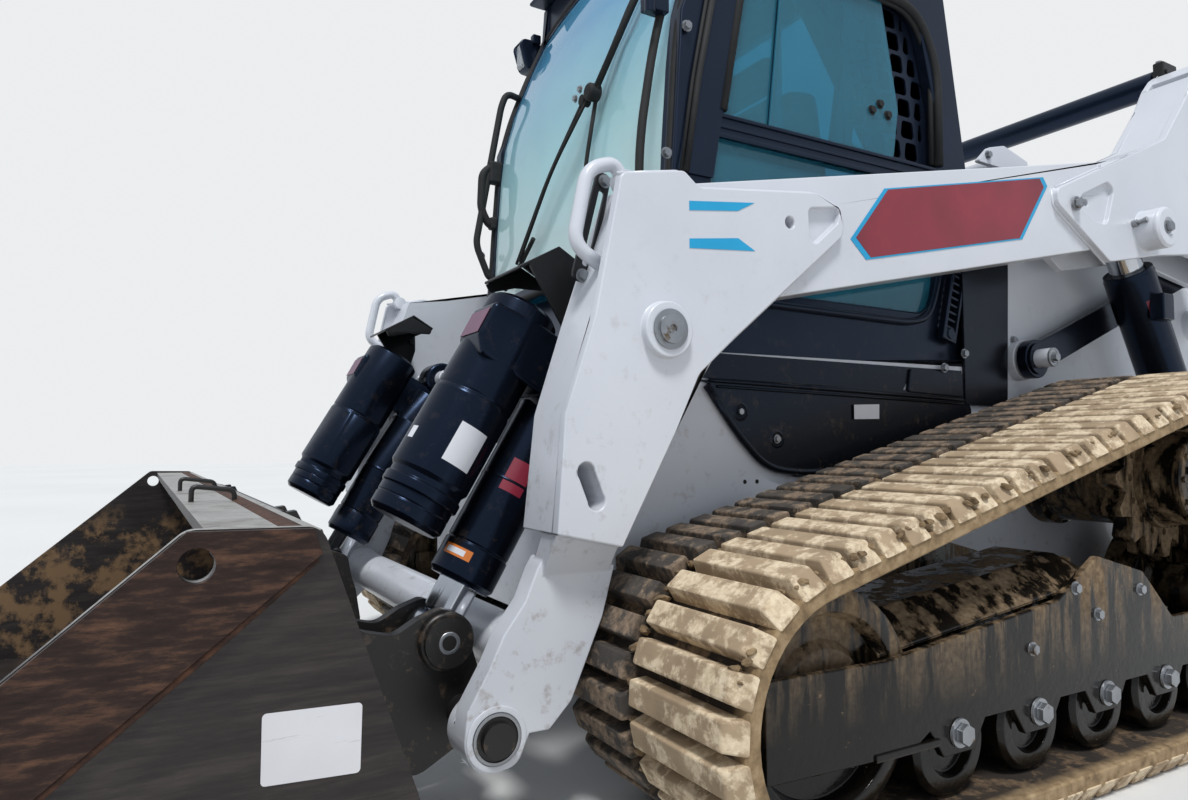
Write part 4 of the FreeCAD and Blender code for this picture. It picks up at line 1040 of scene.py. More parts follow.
tube_bolts = bolted([((-1458, 575, 1738), UP), ((-1418, 575, 1738), UP)], 9)
dress(both_sides(merged(tube_bolts, "tube_bolts"), "rear_tube_bolts"), zinc_bolt, "lift_arm", "rod_chrome")


def slotted_strap():
    """Black strap beside the guard, with a long slot and a bolt at each end."""
    strap = cut_plate([(500, 1066, 12), (528, 1070, 12), (578, 880, 12), (540, 872, 12)], 600, 608)
    cut_out(strap, cut_plate([(513, 1036, 5), (524, 1038, 5), (558, 905, 5), (547, 902, 5)], 590, 615))
    return soft_edges(strap, 1.5)


hood_top = cut_plate([(552, 952, 3), (628, 909, 3), (630, 914, 3), (552, 958, 3), (498, 926), (500, 921)], 350, 513)
hood_lip = soft_edges(cut_plate([(556, 951), (627, 909), (619, 894, 6), (566, 908), (506, 908, 6), (501, 922)], 350, 354), 1.2)
hood_side = cut_plate([(611, 920, 4), (552, 954, 4), (500, 923, 10), (499, 880, 10), (524, 802, 10), (538, 802, 8)], 507, 513)
guard_stays = [turned((x, 500, z), (x, 560, z), [(0, 8), (60, 8)], 16) for x, z in ((510, 905), (530, 815))]
low_strap = cut_plate([(500, 912, 10), (524, 918, 10), (556, 800, 12), (532, 794, 12)], 548, 555)
hood_parts = [soft_edges(hood_top, 1.5), hood_lip, soft_edges(hood_side, 1.2), soft_edges(low_strap, 1.5)]
hoods = both_sides(merged(hood_parts + guard_stays, "hood_half"), "hoods")
dress(merged([hoods, slotted_strap()], "tilt_guard_piece"), satin_cover, "lift_arm", "actuator_black", "tilt_guards")
guard_bolts = both_sides(merged(bolted([((519, 556, 913), LEFT), ((542, 556, 803), LEFT)], 9), "guard_bolts"), "low_bolts")
strap_bolts = bolted([((515, 609, 1053), LEFT), ((558, 609, 886), LEFT)], 9)
dress(merged([guard_bolts] + strap_bolts, "tilt_guard_bolts"), zinc_bolt, "lift_arm", "rod_chrome")

# %% [markdown]
# Each tilt actuator is electric: a slim screw tube with a chromed rod, a gear housing at
# the top and a fat motor beside the tube. They are turned parts on two parallel lines.

# %% Tilt actuators
TILT_PIN, TILT_EYE = Vector((455, 430, 790)), Vector((750, 430, 285))
RUN = (TILT_EYE - TILT_PIN).normalized()
ACROSS = Vector((-RUN.z, 0, RUN.x))
MOTOR = TILT_PIN + ACROSS * 140


def at_tilt(u, w):
    """X, Z of a place u across and w along the actuator."""
    place = TILT_PIN + ACROSS * u + RUN * w
    return (place.x, place.z)


tube = soft_edges(turned(TILT_PIN, TILT_EYE, [(60, 54), (150, 54), (152, 58), (300, 58), (301, 59), (304, 59), (305, 58),
                                              (424, 58), (425, 56.5), (428, 56.5), (429, 59.5), (484, 59.5), (490, 54),
                                              (493, 54), (493, 38)], 56), 1.2)
eye = soft_edges(on_side((455, 790), 390, [(0, 40), (4, 46), (76, 46), (80, 40)], 48), 1.5)
motor = soft_edges(turned(MOTOR, MOTOR + RUN, [(14, 62), (22, 70), (120, 71), (204, 71), (206, 69), (209, 69), (211, 71),
                                               (214, 71), (216, 72), (362, 72), (370, 66), (380, 66), (382, 69), (384, 70),
                                               (398, 70), (401, 67)], 64), 1.2)
cap = soft_edges(turned(MOTOR - Vector((0, 4, 0)), MOTOR - Vector((0, 4, 0)) + RUN,
                        [(398, 66), (416, 66), (417, 65), (419, 65), (420, 66), (440, 66), (449, 58)], 56), 1.5)
housing = cut_plate([at_tilt(-66, 62) + (14,), at_tilt(-36, 38) + (14,), at_tilt(126, 38) + (14,),
                     at_tilt(214, 52) + (10,), at_tilt(212, 118) + (20,), at_tilt(190, 146) + (10,),
                     at_tilt(60, 146) + (10,), at_tilt(40, 168) + (20,), at_tilt(-58, 168) + (14,)], 398, 500)
housing = soft_edges(housing, 9, 3)
barrel = merged([tube, eye, housing], "tilt_barrel_half")
dress(both_sides(barrel, "tilt_barrel_piece"), actuator_black, "tilt_barrel", "actuator_black", "tilt_barrels")
dress(both_sides(merged([motor, cap], "motor_half"), "tilt_motor_piece"), actuator_black, "tilt_barrel",
      "actuator_black", "tilt_motors")
rod = soft_edges(turned(TILT_PIN, TILT_EYE, [(232, 36), (544, 36), (550, 34)], 48), 0)
rod_eye = soft_edges(on_side((750, 285), 396, [(0, 36), (4, 42), (64, 42), (68, 36)], 48), 1)
rod_stub = on_side((750, 285), 388.4, [(0, 24), (83, 24)], 32)
dress(both_sides(merged([rod, rod_eye, rod_stub], "rod_half"), "tilt_rod_piece"), rod_chrome, "tilt_rod", "rod_chrome",
      "tilt_rods")


def wrapped_label(a, run, radius, low, high, first, last, thick=0.5):
    """Blank film wrapped on a turned part, between two places along it and two angles."""
    start_clean()
    bpy.ops.mesh.primitive_grid_add(x_subdivisions=14, y_subdivisions=1, size=1)
    item = bpy.context.object
    run = Vector(run).normalized()
    up = run.cross(Vector((0, 1, 0))).normalized()
    for vertex in item.data.vertices:
        angle = math.radians(first + (last - first) * (vertex.co.x + 0.5))
        along = low + (high - low) * (vertex.co.y + 0.5)
        out = up * math.cos(angle) + Vector((0, 1, 0)) * math.sin(angle)
        vertex.co = (Vector(a) + run * along + out * radius) / 1000
    wall = item.modifiers.new("wall", "SOLIDIFY")
    wall.thickness = thick / 1000
    wall.offset = 1
    choose(item)
    bpy.ops.object.modifier_apply(modifier="wall")
    return outward(item)


motor_label = wrapped_label(MOTOR, RUN, 72.2, 262, 334, 74, 118)
small_label = wrapped_label(MOTOR, RUN, 72.2, 300, 322, 6, 19)
red_label = wrapped_label(TILT_PIN, RUN, 58.3, 262, 322, 50, 92)
collar_band = wrapped_label(TILT_PIN, RUN, 59.8, 440, 458, 12, 66)
collar_label = wrapped_label(TILT_PIN, RUN, 60.2, 444, 454, 18, 54)
plain_labels = merged([motor_label, small_label, collar_label], "plain_labels")
dress(both_sides(plain_labels, "white_labels"), white_film, "tilt_barrel", "actuator_black")
face_label = cut_plate([at_tilt(214.5, 66), at_tilt(215.3, 66), at_tilt(213.7, 116), at_tilt(212.9, 116)], 408, 492)
dress(both_sides(face_label, "housing_labels"), plum_film, "tilt_barrel", "actuator_black")
dress(both_sides(merged([red_label], "red_label"), "red_labels"), red_label_film, "tilt_barrel", "actuator_black")
dress(both_sides(collar_band, "orange_bands"), orange_film, "tilt_barrel", "actuator_black")

# %% [markdown]
# The lift actuators stand behind the track: a black tube, a short chromed length of rod
# and an eye in the arm's casting.

# %% Lift actuators and links
FOOT, PIN = Vector((-1439, 630, 460)), Vector((-1040, 630, 1153))
LIFT_RUN = (PIN - FOOT).normalized()
lift_tube = soft_edges(turned(FOOT, PIN, [(48, 50), (52, 57), (560, 57), (562, 55), (566, 55), (568, 60), (640, 60),
                                          (690, 60), (694, 58), (703, 58), (703, 42)], 56), 1.2)
lift_eye = dressed_node("lift_barrels", 1.5)
side_box = soft_edges(box((-1150, -1096), (676, 712), (930, 1000)), 5)
dress(merged([lift_eye, both_sides(merged([lift_tube, side_box], "lift_tube"), "lift_tubes")], "lift_barrel_piece"),
      actuator_black, "lift_barrel", "actuator_black", "lift_barrels")
dress(dressed_node("lift_rods", 1.2), rod_chrome, "lift_rod", "rod_chrome", "lift_rods")
lift_label = wrapped_label(FOOT, LIFT_RUN, 60.4, 575, 625, 80, 135)
dress(both_sides(lift_label, "lift_labels"), red_label_film, "lift_barrel", "actuator_black")
for name, body in (("control_links", "control_link"), ("rear_links", "rear_link")):
    dress(dressed_node(name, 2.5), actuator_black, body, "actuator_black", name)
link_rings = [soft_edges(on_side((-800, 826), 554.3, [(0, 40), (5, 40), (5, 27), (3, 27)], 40), 0.8)]
dress(both_sides(merged(link_rings, "rings"), "link_rings"), actuator_black, "control_link", "actuator_black")

# %% [markdown]
# The coupler's plates have a curved top edge, drawn as an arc that drops behind the tilt
# eye. A round cap with a chromed ring and a hexagon socket covers the eye's pin.

# %% Coupler
dress(dressed_node("coupler_frame", 2.5, 2, True), coupler_black, "coupler", "coupler_black", "coupler_frame")
cap_disc = soft_edges(on_side((750, 285), 496.2, [(0, 47), (9, 47), (12, 44)], 56), 1)
dress(both_sides(cap_disc, "coupler_caps"), coupler_black, "coupler", "coupler_black")
ring = soft_edges(on_side((750, 285), 508, [(0, 19), (7, 19), (9, 17), (9, 12), (2, 12)], 40), 0.8)
socket = bolted([((750, 509, 285), LEFT)], 6)
dress(both_sides(merged([ring] + socket, "coupler_ring"), "coupler_rings"), zinc_bolt, "coupler", "rod_chrome")

# %% [markdown]
# The bucket is bare steel plate, welded from a rolled shell, two sides and bolt-on
# cutters. Rust follows the weld under each cutter, and its label is blank and scuffed.

# %% Bucket
dress(dressed_node("bucket", 1.6, 2, True), bucket_steel, "coupler", "bucket_steel", "bucket")
dress(dressed_node("side_cutters", 1.2, 2, True), cutter_steel, "coupler", "bucket_steel", "side_cutters")
dress(dressed_node("cutting_edge", 1, 2, True), bucket_steel, "coupler", "bucket_steel", "cutting_edge")
bucket_weld = bead([(1050, 498), (1138, 423), (1258, 325), (1640, 11)], 997, 4)
top_roll = turned((1064, -970, 503), (1064, 970, 503), [(0, 23), (1940, 23)], 32)
dress(merged([both_sides(bucket_weld, "bucket_welds"), soft_edges(top_roll, 0)], "bucket_seams"), rusty_weld, "coupler",
      "bucket_steel")
hooks = []
for y in (170, 500):
    hooks.append(bent_tube([(1072, y, 500), (1072, y, 538), (1128, y, 545), (1128, y, 500)], 3.6, 9))
dress(merged(hooks, "bucket_hooks"), coupler_black, "coupler", "bucket_steel")
bucket_label = cut_plate([(1006, 361, 4), (1094, 364, 4), (1094, 301, 4), (1007, 297, 4)], 996.5, 997.1)
dress(both_sides(bucket_label, "bucket_labels"), scuffed_film, "coupler", "bucket_steel")

# %% [markdown]
# The machine's sides are white plate with a moulded black cover. The cover has a raised
# lip that follows its curved lower edge, a stepped crease along its top and two bolts
# in round dishes.

# %% Main frame
frame_sides = dressed_node("main_frame", 2.5)
dress(frame_sides, white_paint, "chassis", "white_paint", "main_frame")
hole_dots = merged([on_side(at, 500.2, [(0, 4.5), (0.5, 4.5)], 16) for at in ((122, 530), (90, 530), (-1000, 600))], "dots")
dress(both_sides(hole_dots, "sight_holes"), rubber_seal, "chassis", "white_paint")
frame_steel = bolted([((-783, 501, 878), LEFT), ((-560, 516, 829), LEFT), ((-489, 512, 791), LEFT)], 9)
pin_rings = []
for at, out, reach in (((-800, 826), 596, 30), ((-1700, 985), 674, 30), ((-1439, 460), 674, 30)):
    pin_rings.append(soft_edges(on_side(at, out - 4, [(0, reach - 6), (6, reach - 6), (6, reach - 12), (2, reach - 12)]), 1))
    frame_steel += bolted([((at[0], out + 1, at[1]), LEFT)], 11)
dress(both_sides(merged(pin_rings + frame_steel, "frame_steel"), "frame_pins"), zinc_bolt, "chassis", "rod_chrome")

# %% Side cover
LOWER = [(250, 733, 12), (214, 726, 8), (141, 635, 60), (76, 572, 40), (-9, 538, 30), (-560, 538, 30),
         (-600, 700, 30), (-566, 720, 8), (-566, 733)]
rear_panel = soft_edges(cut_plate([(-572, 704, 8), (-740, 704, 20), (-760, 1096, 20), (-640, 1136, 20), (-572, 1036, 20)],
                                  500.3, 509), 2)
lower_panel = soft_edges(cut_plate(LOWER, 500.3, 507), 2)
field = [(178, 716, 10), (138, 640, 50), (70, 586, 40), (-9, 562, 30), (-540, 560, 30), (-574, 694, 20)]
pressed = soft_edges(cut_plate(field, 506, 511.5), 4.5, 4)
dishes = []
for at in ((137, 672), (40, 617)):
    cut_out(pressed, on_side(at, 508.5, [(0, 15), (6, 24)], 32))
    dishes.append(soft_edges(on_side(at, 504, [(0, 22), (3, 20), (5, 15), (3, 14)], 32), 0.6))
lip = bent_tube([(222, 508, 722), (143, 508, 624), (72, 508, 559), (-12, 508, 547), (-552, 508, 547)], 8, 46)
crease = [bent_tube([(216, 509, 733), (-560, 509, 716)], 4.5, 8), bent_tube([(196, 509, 721), (-560, 509, 706)], 3, 8)]
upper_strip = soft_edges(cut_plate([(236, 788, 8), (230, 737, 6), (-350, 730, 6), (-374, 764, 6), (-566, 780, 6), (-566, 788)],
                                   500.3, 504.5), 1.5)
strip_box = soft_edges(cut_plate([(-372, 784, 8), (-362, 728, 6), (-560, 722, 6), (-560, 784, 6)], 500.3, 511), 3, 3)
cover_piece = merged([rear_panel, lower_panel, pressed, lip, upper_strip, strip_box] + crease + dishes, "cover_half")
dress(both_sides(cover_piece, "side_cover_piece"), black_cover, "chassis", "black_covers", "side_covers")
cover_bolts = bolted([((137, 505, 672), LEFT), ((40, 506, 617), LEFT)], 7)
dress(both_sides(merged(cover_bolts, "cover_bolts"), "side_cover_bolts"), zinc_bolt, "chassis", "rod_chrome")
note = cut_plate([(-182, 694), (-262, 697), (-261, 664), (-182, 662)], 511.2, 511.8)
dress(both_sides(note, "cover_labels"), white_film, "chassis", "black_covers")

# %% [markdown]
# The cab is a welded frame of navy-black plate. Its side window is one opening with
# round corners and a sill rail across it; the glass runs on to the level of the tracks.

# %% Cab frame
cab_piece = dressed_node("cab_frame", 5, 3)
ladder = [soft_edges(box((-26, 26), (-9, 9), (-92, 92)), 3)]
cut_out(ladder[0], box((-17, 17), (-30, 30), (-66, 84)))
for k in range(8):
    ladder.append(soft_edges(box((-18, 18), (-5, 5), (-60 + 19 * k, -54 + 19 * k)), 1))
ladder.append(soft_edges(turned((0, -4, -74), (0, 10, -74), [(0, 17), (10, 17), (13, 13), (16, 13)], 32), 1.5))
vent = merged(ladder, "vent_ladder")
vent.rotation_euler = (0, math.radians(-14.5), 0)
vent.location = (-0.543, 0.498, 0.948)
settle(vent)
post_plate = soft_edges(cut_plate([(276, 1150, 6), (186, 1150, 6), (110, 1560, 6), (190, 1560, 6)], 483, 489), 1.5)
mount_plate = soft_edges(cut_plate([(-659, 1334, 4), (-708, 1378, 14), (-770, 1394, 14), (-872, 1368, 6), (-872, 1330, 4)],
                                   486, 500), 1.5)
dress(mount_plate, white_paint, "chassis", "white_paint")
lower_lip = bent_tube([(222, 487, 1100), (246, 487, 908), (49, 487, 903), (-398, 487, 897), (-470, 487, 915),
                       (-508, 487, 1007), (-534, 487, 1240)], 9, 60)
trims = [vent, post_plate, lower_lip,
         soft_edges(box((-560, 170), (483, 489), (1240, 1250)), 2), soft_edges(box((-560, 170), (483, 487), (1262, 1268)), 1.5),
         soft_edges(box((-560, 164), (483, 489), (1284, 1292)), 2)]
dress(merged([cab_piece, both_sides(merged(trims, "trims"), "cab_trims")], "cab_frame_piece"), cab_paint, "chassis",
      "cab_paint", "cab_frame")

seal_high = bent_tube([(158, 484, 1300), (82, 484, 1697), (-452, 484, 1688), (-528, 484, 1560), (-526, 484, 1300)], 11, 70)
seal_inner = bent_tube([(150, 474, 1304), (74, 474, 1690), (-446, 474, 1680), (-514, 474, 1556), (-512, 474, 1304)], 7, 64)
hose = bent_tube([(258, 492, 1150), (225, 492, 1351), (180, 492, 1560)], 7, 30)
post_seal = bent_tube([(268, 488, 1150), (236, 488, 1351), (192, 488, 1560)], 4, 30)
dress(both_sides(merged([seal_high, seal_inner, hose, post_seal], "seals"), "window_seals"), rubber_seal, "chassis",
      "cab_paint")
hinge_bolts = bolted([((304, 490, 1180), LEFT), ((252, 490, 1452), LEFT), ((-700, 500, 1356), LEFT)], 9)
dress(both_sides(merged(hinge_bolts, "cab_bolts"), "cab_side_bolts"), zinc_bolt, "chassis", "rod_chrome")

# %% [markdown]
# The side glass is two sliding panes in front of a steel screen. The screen is a sheet
# with round-cornered holes, cut here one by one, finer towards the window's rear edge.

# %% Side glass and screens
front_pane = cut_plate([(160.5, 1291), (88, 1699, 38), (-23, 1699), (-23, 1291)], 462, 467)
slide_pane = cut_plate([(22, 1291), (-26, 1699), (-336, 1699, 30), (-392, 1420, 60), (-372, 1291, 20)], 470, 475)
low_pane = cut_plate([(222, 931, 38), (168, 1244), (-516, 1244), (-497, 1006), (-479, 926, 58)], 468, 474)
panes = merged([soft_edges(item, 0.8, 1) for item in (front_pane, slide_pane, low_pane)], "panes")
dress(both_sides(panes, "side_glass"), glass, "chassis", "window_glass", "side_windows")
bars = [soft_edges(cut_plate([(22, 1292), (-24, 1696), (-40, 1696), (6, 1292)], 458, 468), 1.5),
        soft_edges(cut_plate([(-192, 1292), (-262, 1690), (-312, 1690), (-244, 1292)], 430, 450), 3)]
dress(both_sides(merged(bars, "bars"), "window_bars"), cab_paint, "chassis", "cab_paint")
knob = bolted([((-327, 474, 1420), LEFT), ((-300, 474, 1400), LEFT), ((-354, 474, 1398), LEFT)], 9)
knob.append(soft_edges(cut_plate([(-327, 1440, 14), (-276, 1392, 14), (-378, 1390, 14)], 450, 461), 2))
dress(both_sides(merged(knob, "knob"), "window_knobs"), rubber_seal, "chassis", "cab_paint")


def screen_sheet():
    sheet = cut_plate([(-226, 1698), (-455, 1689, 108), (-522, 1435, 60), (-518, 1291), (-226, 1291)], 449, 455)
    holes = []
    for row in range(7):
        z = 1312 + row * 54
        for k in range(5):
            x = -300 - k * 62 + row * 12
            edge = -506 if z < 1480 else -506 + (z - 1480) * 0.42
            left, right = max(x, edge), min(x + 50, -236)
            if right - left > 14:
                holes.append(cut_plate([(left, z, 9), (right, z, 9), (right - 6, z + 44, 9), (left + 6, z + 44, 9)],
                                       440, 470, 3))
    for hole in holes:
        cut_out(sheet, hole)
    return soft_edges(sheet, 1.2)


dress(both_sides(screen_sheet(), "screen_piece"), cab_paint, "chassis", "cab_paint", "side_screens")
dress(dressed_node("rear_window", 1), glass, "chassis", "window_glass", "rear_window")

# %% Roof, lamps, antenna
roof_piece = dressed_node("cab_roof", 16, 5)
ribs = [soft_edges(box((-430, 60), (y - 22, y + 22), (2052, 2064)), 5, 3) for y in (-300, -100, 100, 300)]
dress(merged([roof_piece] + ribs, "cab_roof_piece"), cab_paint, "chassis", "cab_paint", "cab_roof")
lamp_shell = soft_edges(cut_plate([(118, 1796, 16), (160, 1800, 18), (188, 1892, 22), (104, 1894, 18)], 486, 544), 4, 3)
cut_out(lamp_shell, soft_edges(box((150, 220), (494, 536), (1806, 1884)), 0))
lamp_parts = [lamp_shell, soft_edges(box((112, 140), (476, 500), (1880, 1910)), 4)]
dress(both_sides(merged(lamp_parts, "lamp"), "head_lamp_piece"), cab_paint, "chassis", "lamp_glass", "head_lamps")
lamp_face = soft_edges(box((152, 172), (495, 535), (1807, 1883)), 5, 3)
dress(both_sides(lamp_face, "head_lamp_faces"), lamp_glass, "chassis", "lamp_glass")
mast = [turned((-670, 380, 1330), (-670, 380, 1400), [(0, 17), (18, 17), (24, 12), (60, 10), (66, 12), (72, 18), (88, 20),
                                                     (104, 14), (112, 7), (250, 4), (640, 2.6)], 24)]
dress(soft_edges(mast[0], 0), rubber_seal, "chassis", "cab_paint", "antenna")

# %% [markdown]
# The operator's seat is padded vinyl: two cushions with rounded rims and sewn channels,
# side bolsters, armrests and a plinth. Its two stitched cushions are a little fuller
# than the plain block they stand for.

# %% Seat


def cushion(x, y, z, soft, turn=0.0, pivot=(0, 0, 0)):
    start_clean()
    bpy.ops.mesh.primitive_cube_add(size=1)
    item = bpy.context.object
    item.location = [(p[0] + p[1]) / 2000 for p in (x, y, z)]
    item.scale = [(p[1] - p[0]) / 1000 for p in (x, y, z)]
    settle(item)
    soft_edges(item, soft, 5)
    if turn:
        choose(item)
        bpy.ops.transform.rotate(value=math.radians(turn), orient_axis="Y", center_override=[p / 1000 for p in pivot])
    return item


squab = [cushion((-372, -30), (-150 + 100 * k, -54 + 100 * k), (1096, 1186), 24) for k in range(3)]
squab += [cushion((-380, -20), (s * 196 - 38, s * 196 + 38), (1092, 1204), 30) for s in (-1, 1)]
back = [cushion((-430, -350), (-148, 148), (1200 + 96 * k, 1292 + 96 * k), 26, -9, (-380, 0, 1190)) for k in range(4)]
back += [cushion((-440, -330), (s * 188 - 40, s * 188 + 40), (1210, 1560), 32, -9, (-380, 0, 1190)) for s in (-1, 1)]
back.append(cushion((-430, -360), (-120, 120), (1600, 1700), 34, -9, (-380, 0, 1190)))
plinth = [cushion((-370, -60), (-180, 180), (842, 1096), 14)]
seat_piece = merged(squab + back + plinth, "seat_piece")
dress(seat_piece, seat_vinyl, "chassis", "seat_cover", "seat")


def console_half():
    base = soft_edges(box((-330, 90), (267, 390), (842, 1150)), 18, 4)
    top = soft_edges(box((-340, 96), (262, 394), (1140, 1262)), 26, 5)
    boot = soft_edges(turned((40, 329, 1256), (40, 329, 1300), [(0, 40), (10, 38), (24, 30), (34, 26), (46, 20), (56, 16)], 32), 2)
    stick = soft_edges(turned((40, 329, 1300), (46, 329, 1470), [(0, 12), (60, 12), (66, 20), (90, 25), (140, 27), (168, 24),
                                                              (176, 14)], 32), 3)
    keys = [soft_edges(on_side((46, 1440 + 12 * k), 352, [(0, 5), (4, 5)], 16), 1) for k in range(3)]
    return merged([base, top, boot, stick] + keys, "console_half")


dress(both_sides(console_half(), "console_piece"), case_grey, "chassis", "cab_paint", "control_consoles")

# %% [markdown]
# The front door is a single bowed sheet of glass in a thin rubber-edged frame. It hangs
# on two knuckles at the machine's left and carries a bent pull bar, a moulded latch and
# a long jointed wiper.

# %% Door


def door_x_at(z, back=0.0):
    """X of the door's front face at a height."""
    places = [(985, 329), (1200, 321), (1400, 307), (1490, 296), (1600, 266), (1750, 208), (1895, 142)]
    for (z0, x0), (z1, x1) in zip(places, places[1:]):
        if z <= z1:
            return x0 + (x1 - x0) * (z - z0) / (z1 - z0) - back
    return places[-1][1] - back


def door_sheet(low, high, front, back, half):
    """A bowed sheet that follows the door's face."""
    heights = [low + (high - low) * k / 16 for k in range(17)]
    outline = [(door_x_at(z, front), z) for z in heights] + [(door_x_at(z, back), z) for z in reversed(heights)]
    return cut_plate(outline, -half, half)


def bow_at(y):
    """How far the door's face falls back at a distance from the middle."""
    return 40 * (y / 460) ** 2


def bowed(item):
    """Cuts the sheet into upright strips and bends it back towards its edges."""
    choose(item)
    bpy.ops.object.mode_set(mode="EDIT")
    for y in range(-400, 401, 80):
        bpy.ops.mesh.select_all(action="SELECT")
        bpy.ops.mesh.bisect(plane_co=(0, y / 1000, 0), plane_no=(0, 1, 0))
    bpy.ops.object.mode_set(mode="OBJECT")
    for vertex in item.data.vertices:
        vertex.co.x -= bow_at(vertex.co.y * 1000) / 1000
    return item


door_rim = door_sheet(987, 1893, 4, 24, 467)
window_cut = door_sheet(1016, 1862, -30, 60, 436)
cut_out(door_rim, window_cut)
soft_edges(bowed(door_rim), 2, 2, 50)
edge_line = [(door_x_at(z, 4 + bow_at(464)), -464, z) for z in (990, 1200, 1400, 1490, 1600, 1750, 1890)]
across_top = [(door_x_at(1890, 4 + bow_at(y)), y, 1890) for y in (-232, 0, 232)]
across_low = [(door_x_at(990, 4 + bow_at(y)), y, 990) for y in (232, 0, -232)]
edge_line += across_top + [(x, -y, z) for x, y, z in reversed(edge_line)] + across_low
door_rubber = bent_tube(edge_line, 9, 50, True)
knuckle_parts = []
for z in (1035, 1460):
    knuckle_parts.append(soft_edges(turned((337, 484, z), (337, 484, z + 60), [(0, 11), (27, 11), (28, 9.5), (31, 9.5),
                                                                              (32, 11), (60, 11)], 24), 0.8))
    knuckle_parts.append(soft_edges(box((door_x_at(z, 10), 340), (452, 484), (z + 12, z + 48)), 3))
dress(merged([door_rim] + knuckle_parts, "door_frame_piece"), cab_paint, "cab_door", "cab_paint", "door_frame")
hinge_bar = bent_tube([(346, 461, 1060), (350, 461, 1150), (343, 461, 1238), (316, 461, 1400), (288, 461, 1512),
                       (240, 461, 1640), (170, 461, 1810)], 9, 60)
dress(merged([door_rubber, hinge_bar], "door_rubber"), rubber_seal, "cab_door", "cab_paint")
door_pane = soft_edges(bowed(door_sheet(1012, 1866, 8, 14, 440)), 0, 1, 50)
dress(door_pane, windscreen, "cab_door", "window_glass", "door_glass")

pull = bent_tube([(190, -452, 1672), (240, -452, 1684), (258, -452, 1640), (337, -452, 1203), (296, -452, 1108),
                  (274, -452, 1104)], 10, 26)
latch_body = [soft_edges(box((252, 300), (-468, -438), (1392, 1462)), 10, 4),
              soft_edges(box((262, 296), (-466, -440), (1252, 1290)), 8, 4)]
grip = bent_tube([(286, -452, 1448), (318, -452, 1420), (322, -452, 1310), (296, -452, 1266), (270, -452, 1266)], 12, 26)
bosses = [soft_edges(turned((x - 24, -452, z), (x + 8, -452, z), [(0, 16), (26, 14)], 24), 2)
          for x, z in ((196, 1672), (282, 1106))]
dress(merged([pull, grip] + latch_body + bosses, "pull"), rubber_seal, "cab_door", "cab_paint", "door_handle")


def wiper():
    """Mast along the glass, joint block, two thin arms and a blade."""
    def on_glass(y, z, lift):
        return (door_x_at(z, bow_at(y) - lift), y, z)
    mast = [bent_tube([on_glass(400, 1850, 16), on_glass(330, 1600, 20), on_glass(235, 1410, 22)], 8, 40),
            bent_tube([on_glass(372, 1850, 14), on_glass(304, 1600, 16), on_glass(205, 1390, 18)], 4, 40)]
    hanger = bent_tube([on_glass(228, 1420, 14), on_glass(200, 1250, 14), on_glass(180, 1060, 14)], 5, 40)
    block = soft_edges(turned(on_glass(222, 1404, 8), on_glass(222, 1404, 44), [(0, 20), (26, 20), (30, 15)], 24), 2)
    small = soft_edges(turned(on_glass(186, 1398, 8), on_glass(186, 1398, 44), [(0, 13), (22, 13)], 20), 1.5)
    arms = [bent_tube([on_glass(215, 1400, 26), on_glass(60, 1270, 26), on_glass(-130, 1085, 18)], 4, 60),
            bent_tube([on_glass(186, 1396, 24), on_glass(40, 1260, 24), on_glass(-150, 1082, 18)], 4, 60)]
    blade = soft_edges(bent_tube([on_glass(-60, 1130, 10), on_glass(-150, 1075, 9), on_glass(-260, 1034, 9)], 6, 20), 0)
    return merged(mast + [hanger, block, small, blade] + arms, "wiper")


dress(wiper(), rubber_seal, "cab_door", "cab_paint", "door_wiper")
wiper_bolts = bolted([((door_x_at(1404, -44), 222, 1404), FRONT), ((door_x_at(1398, -36), 186, 1398), FRONT)], 7)
dress(merged(wiper_bolts, "wiper_bolts"), zinc_bolt, "cab_door", "rod_chrome")

# %% [markdown]
# The rear is closed by a louvred gate on a side hinge and a sloped lid, both white.
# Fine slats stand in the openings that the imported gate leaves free.

# %% Rear gate, lid and lamps
gate_piece = dressed_node("tailgate", 4, 3)
slats = []
for k in range(10):
    slat = soft_edges(box((-1808, -1752), (-334, 334), (571 + 52 * k, 575 + 52 * k)), 1)
    choose(slat)
    bpy.ops.transform.rotate(value=math.radians(24), orient_axis="Y",
                             center_override=(-1.780, 0, (573 + 52 * k) / 1000))
    slats.append(settle(slat))
ridge = bent_tube([(-1809, -430, 520), (-1809, 430, 520), (-1809, 430, 1120), (-1809, -430, 1120)], 3.5, 30, True)
dress(merged([gate_piece, ridge], "tailgate_piece"), white_paint, "tail_door", "white_paint", "tailgate")
dress(merged(slats, "tailgate_slats"), black_cover, "tail_door", "black_covers")
gate_latch = [soft_edges(box((-1811, -1800), (-420, -360), (690, 790)), 4, 3),
              soft_edges(box((-1811, -1804), (-404, -376), (716, 764)), 2)]
dress(merged(gate_latch, "gate_latch"), rubber_seal, "tail_door", "black_covers")
lid_piece = dressed_node("rear_lid", 8, 4)
lid_ridges = [soft_edges(box((-1400, -900), (y - 14, y + 14), (1330, 1366)), 5, 3) for y in (-250, 0, 250)]
dress(merged([lid_piece] + lid_ridges, "rear_lid_piece"), white_paint, "rear_cover", "white_paint", "rear_lid")
dress(dressed_node("tail_frame", 3), black_cover, "chassis", "black_covers", "tail_frame")
dress(dressed_node("tail_lamps", 8, 4), red_label_film, "chassis", "lamp_glass", "tail_lamps")
dress(dressed_node("battery_pack", 10, 3), case_grey, "chassis", "battery_case", "battery_pack")

# %% [markdown]
# The camera stands beside the left track, low and close, as the photograph's did. Its
# place, turn and focal length come from edges that run along the machine's axes.

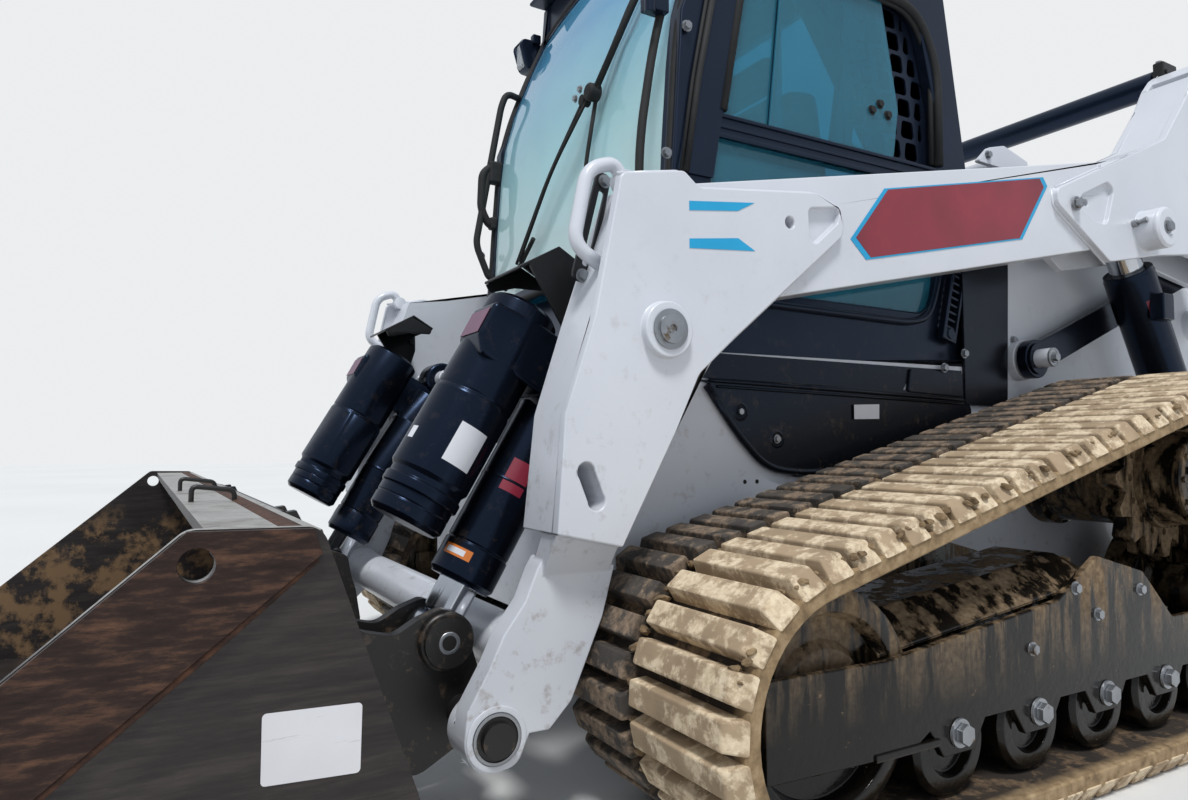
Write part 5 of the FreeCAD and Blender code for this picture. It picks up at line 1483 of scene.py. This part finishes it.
# %% Camera
CAMERA_AT = (1.198, 1.775, 0.600)
CAMERA_YAW = math.radians(60.40)
CAMERA_PITCH = math.radians(3.357)
CAMERA_LENS = 24.40

bpy.ops.object.camera_add(location=CAMERA_AT)
camera = bpy.context.object
camera.name = "camera"
gaze = Vector((-math.cos(CAMERA_YAW) * math.cos(CAMERA_PITCH), -math.sin(CAMERA_YAW) * math.cos(CAMERA_PITCH),
               math.sin(CAMERA_PITCH)))
camera.rotation_euler = gaze.to_track_quat("-Z", "Y").to_euler()
camera.data.lens = CAMERA_LENS
camera.data.sensor_width = 36
camera.data.clip_start = 0.02
bpy.context.scene.camera = camera

# %% [markdown]
# Plain pale floor, one large soft sun high on the machine's left and an even sky.

# %% Floor and light
bpy.ops.object.select_all(action="DESELECT")
bpy.ops.mesh.primitive_plane_add(size=60, location=(0, 0, -0.001))
floor = bpy.context.object
floor.name = "floor"
pale, tree, body, place = finish_of("pale_floor", 0.9)
tree.links.new(ramp(tree, noise(tree, place, 3.0), (0.3, "#dcdcda"), (0.7, "#d6d6d4")), body.inputs["Base Color"])
floor.data.materials.append(pale)
floor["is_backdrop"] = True

world = bpy.data.worlds.new("sky")
world.use_nodes = True
sky = world.node_tree
shade = sky.nodes["Background"]
shade.inputs["Color"].default_value = colour("#dfe6f0")
shade.inputs["Strength"].default_value = 0.72
seen = add(sky, "ShaderNodeBackground", Color=colour("#f1f3f5"), Strength=0.95)
ray = add(sky, "ShaderNodeLightPath")
direct = add(sky, "ShaderNodeMath", {"operation": "MAXIMUM"}, i0=ray.outputs["Is Camera Ray"],
             i1=ray.outputs["Is Transmission Ray"])
choice = add(sky, "ShaderNodeMixShader", i0=direct.outputs[0], i1=shade.outputs[0], i2=seen.outputs[0])
sky.links.new(choice.outputs[0], sky.nodes["World Output"].inputs["Surface"])
bpy.context.scene.world = world
bpy.ops.object.light_add(type="SUN", rotation=(math.radians(-24), math.radians(16), 0))
sun = bpy.context.object
sun.data.energy = 2.4
sun.data.angle = math.radians(12)
bpy.context.scene.view_settings.view_transform = "Standard"

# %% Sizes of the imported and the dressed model
import json

low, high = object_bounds()
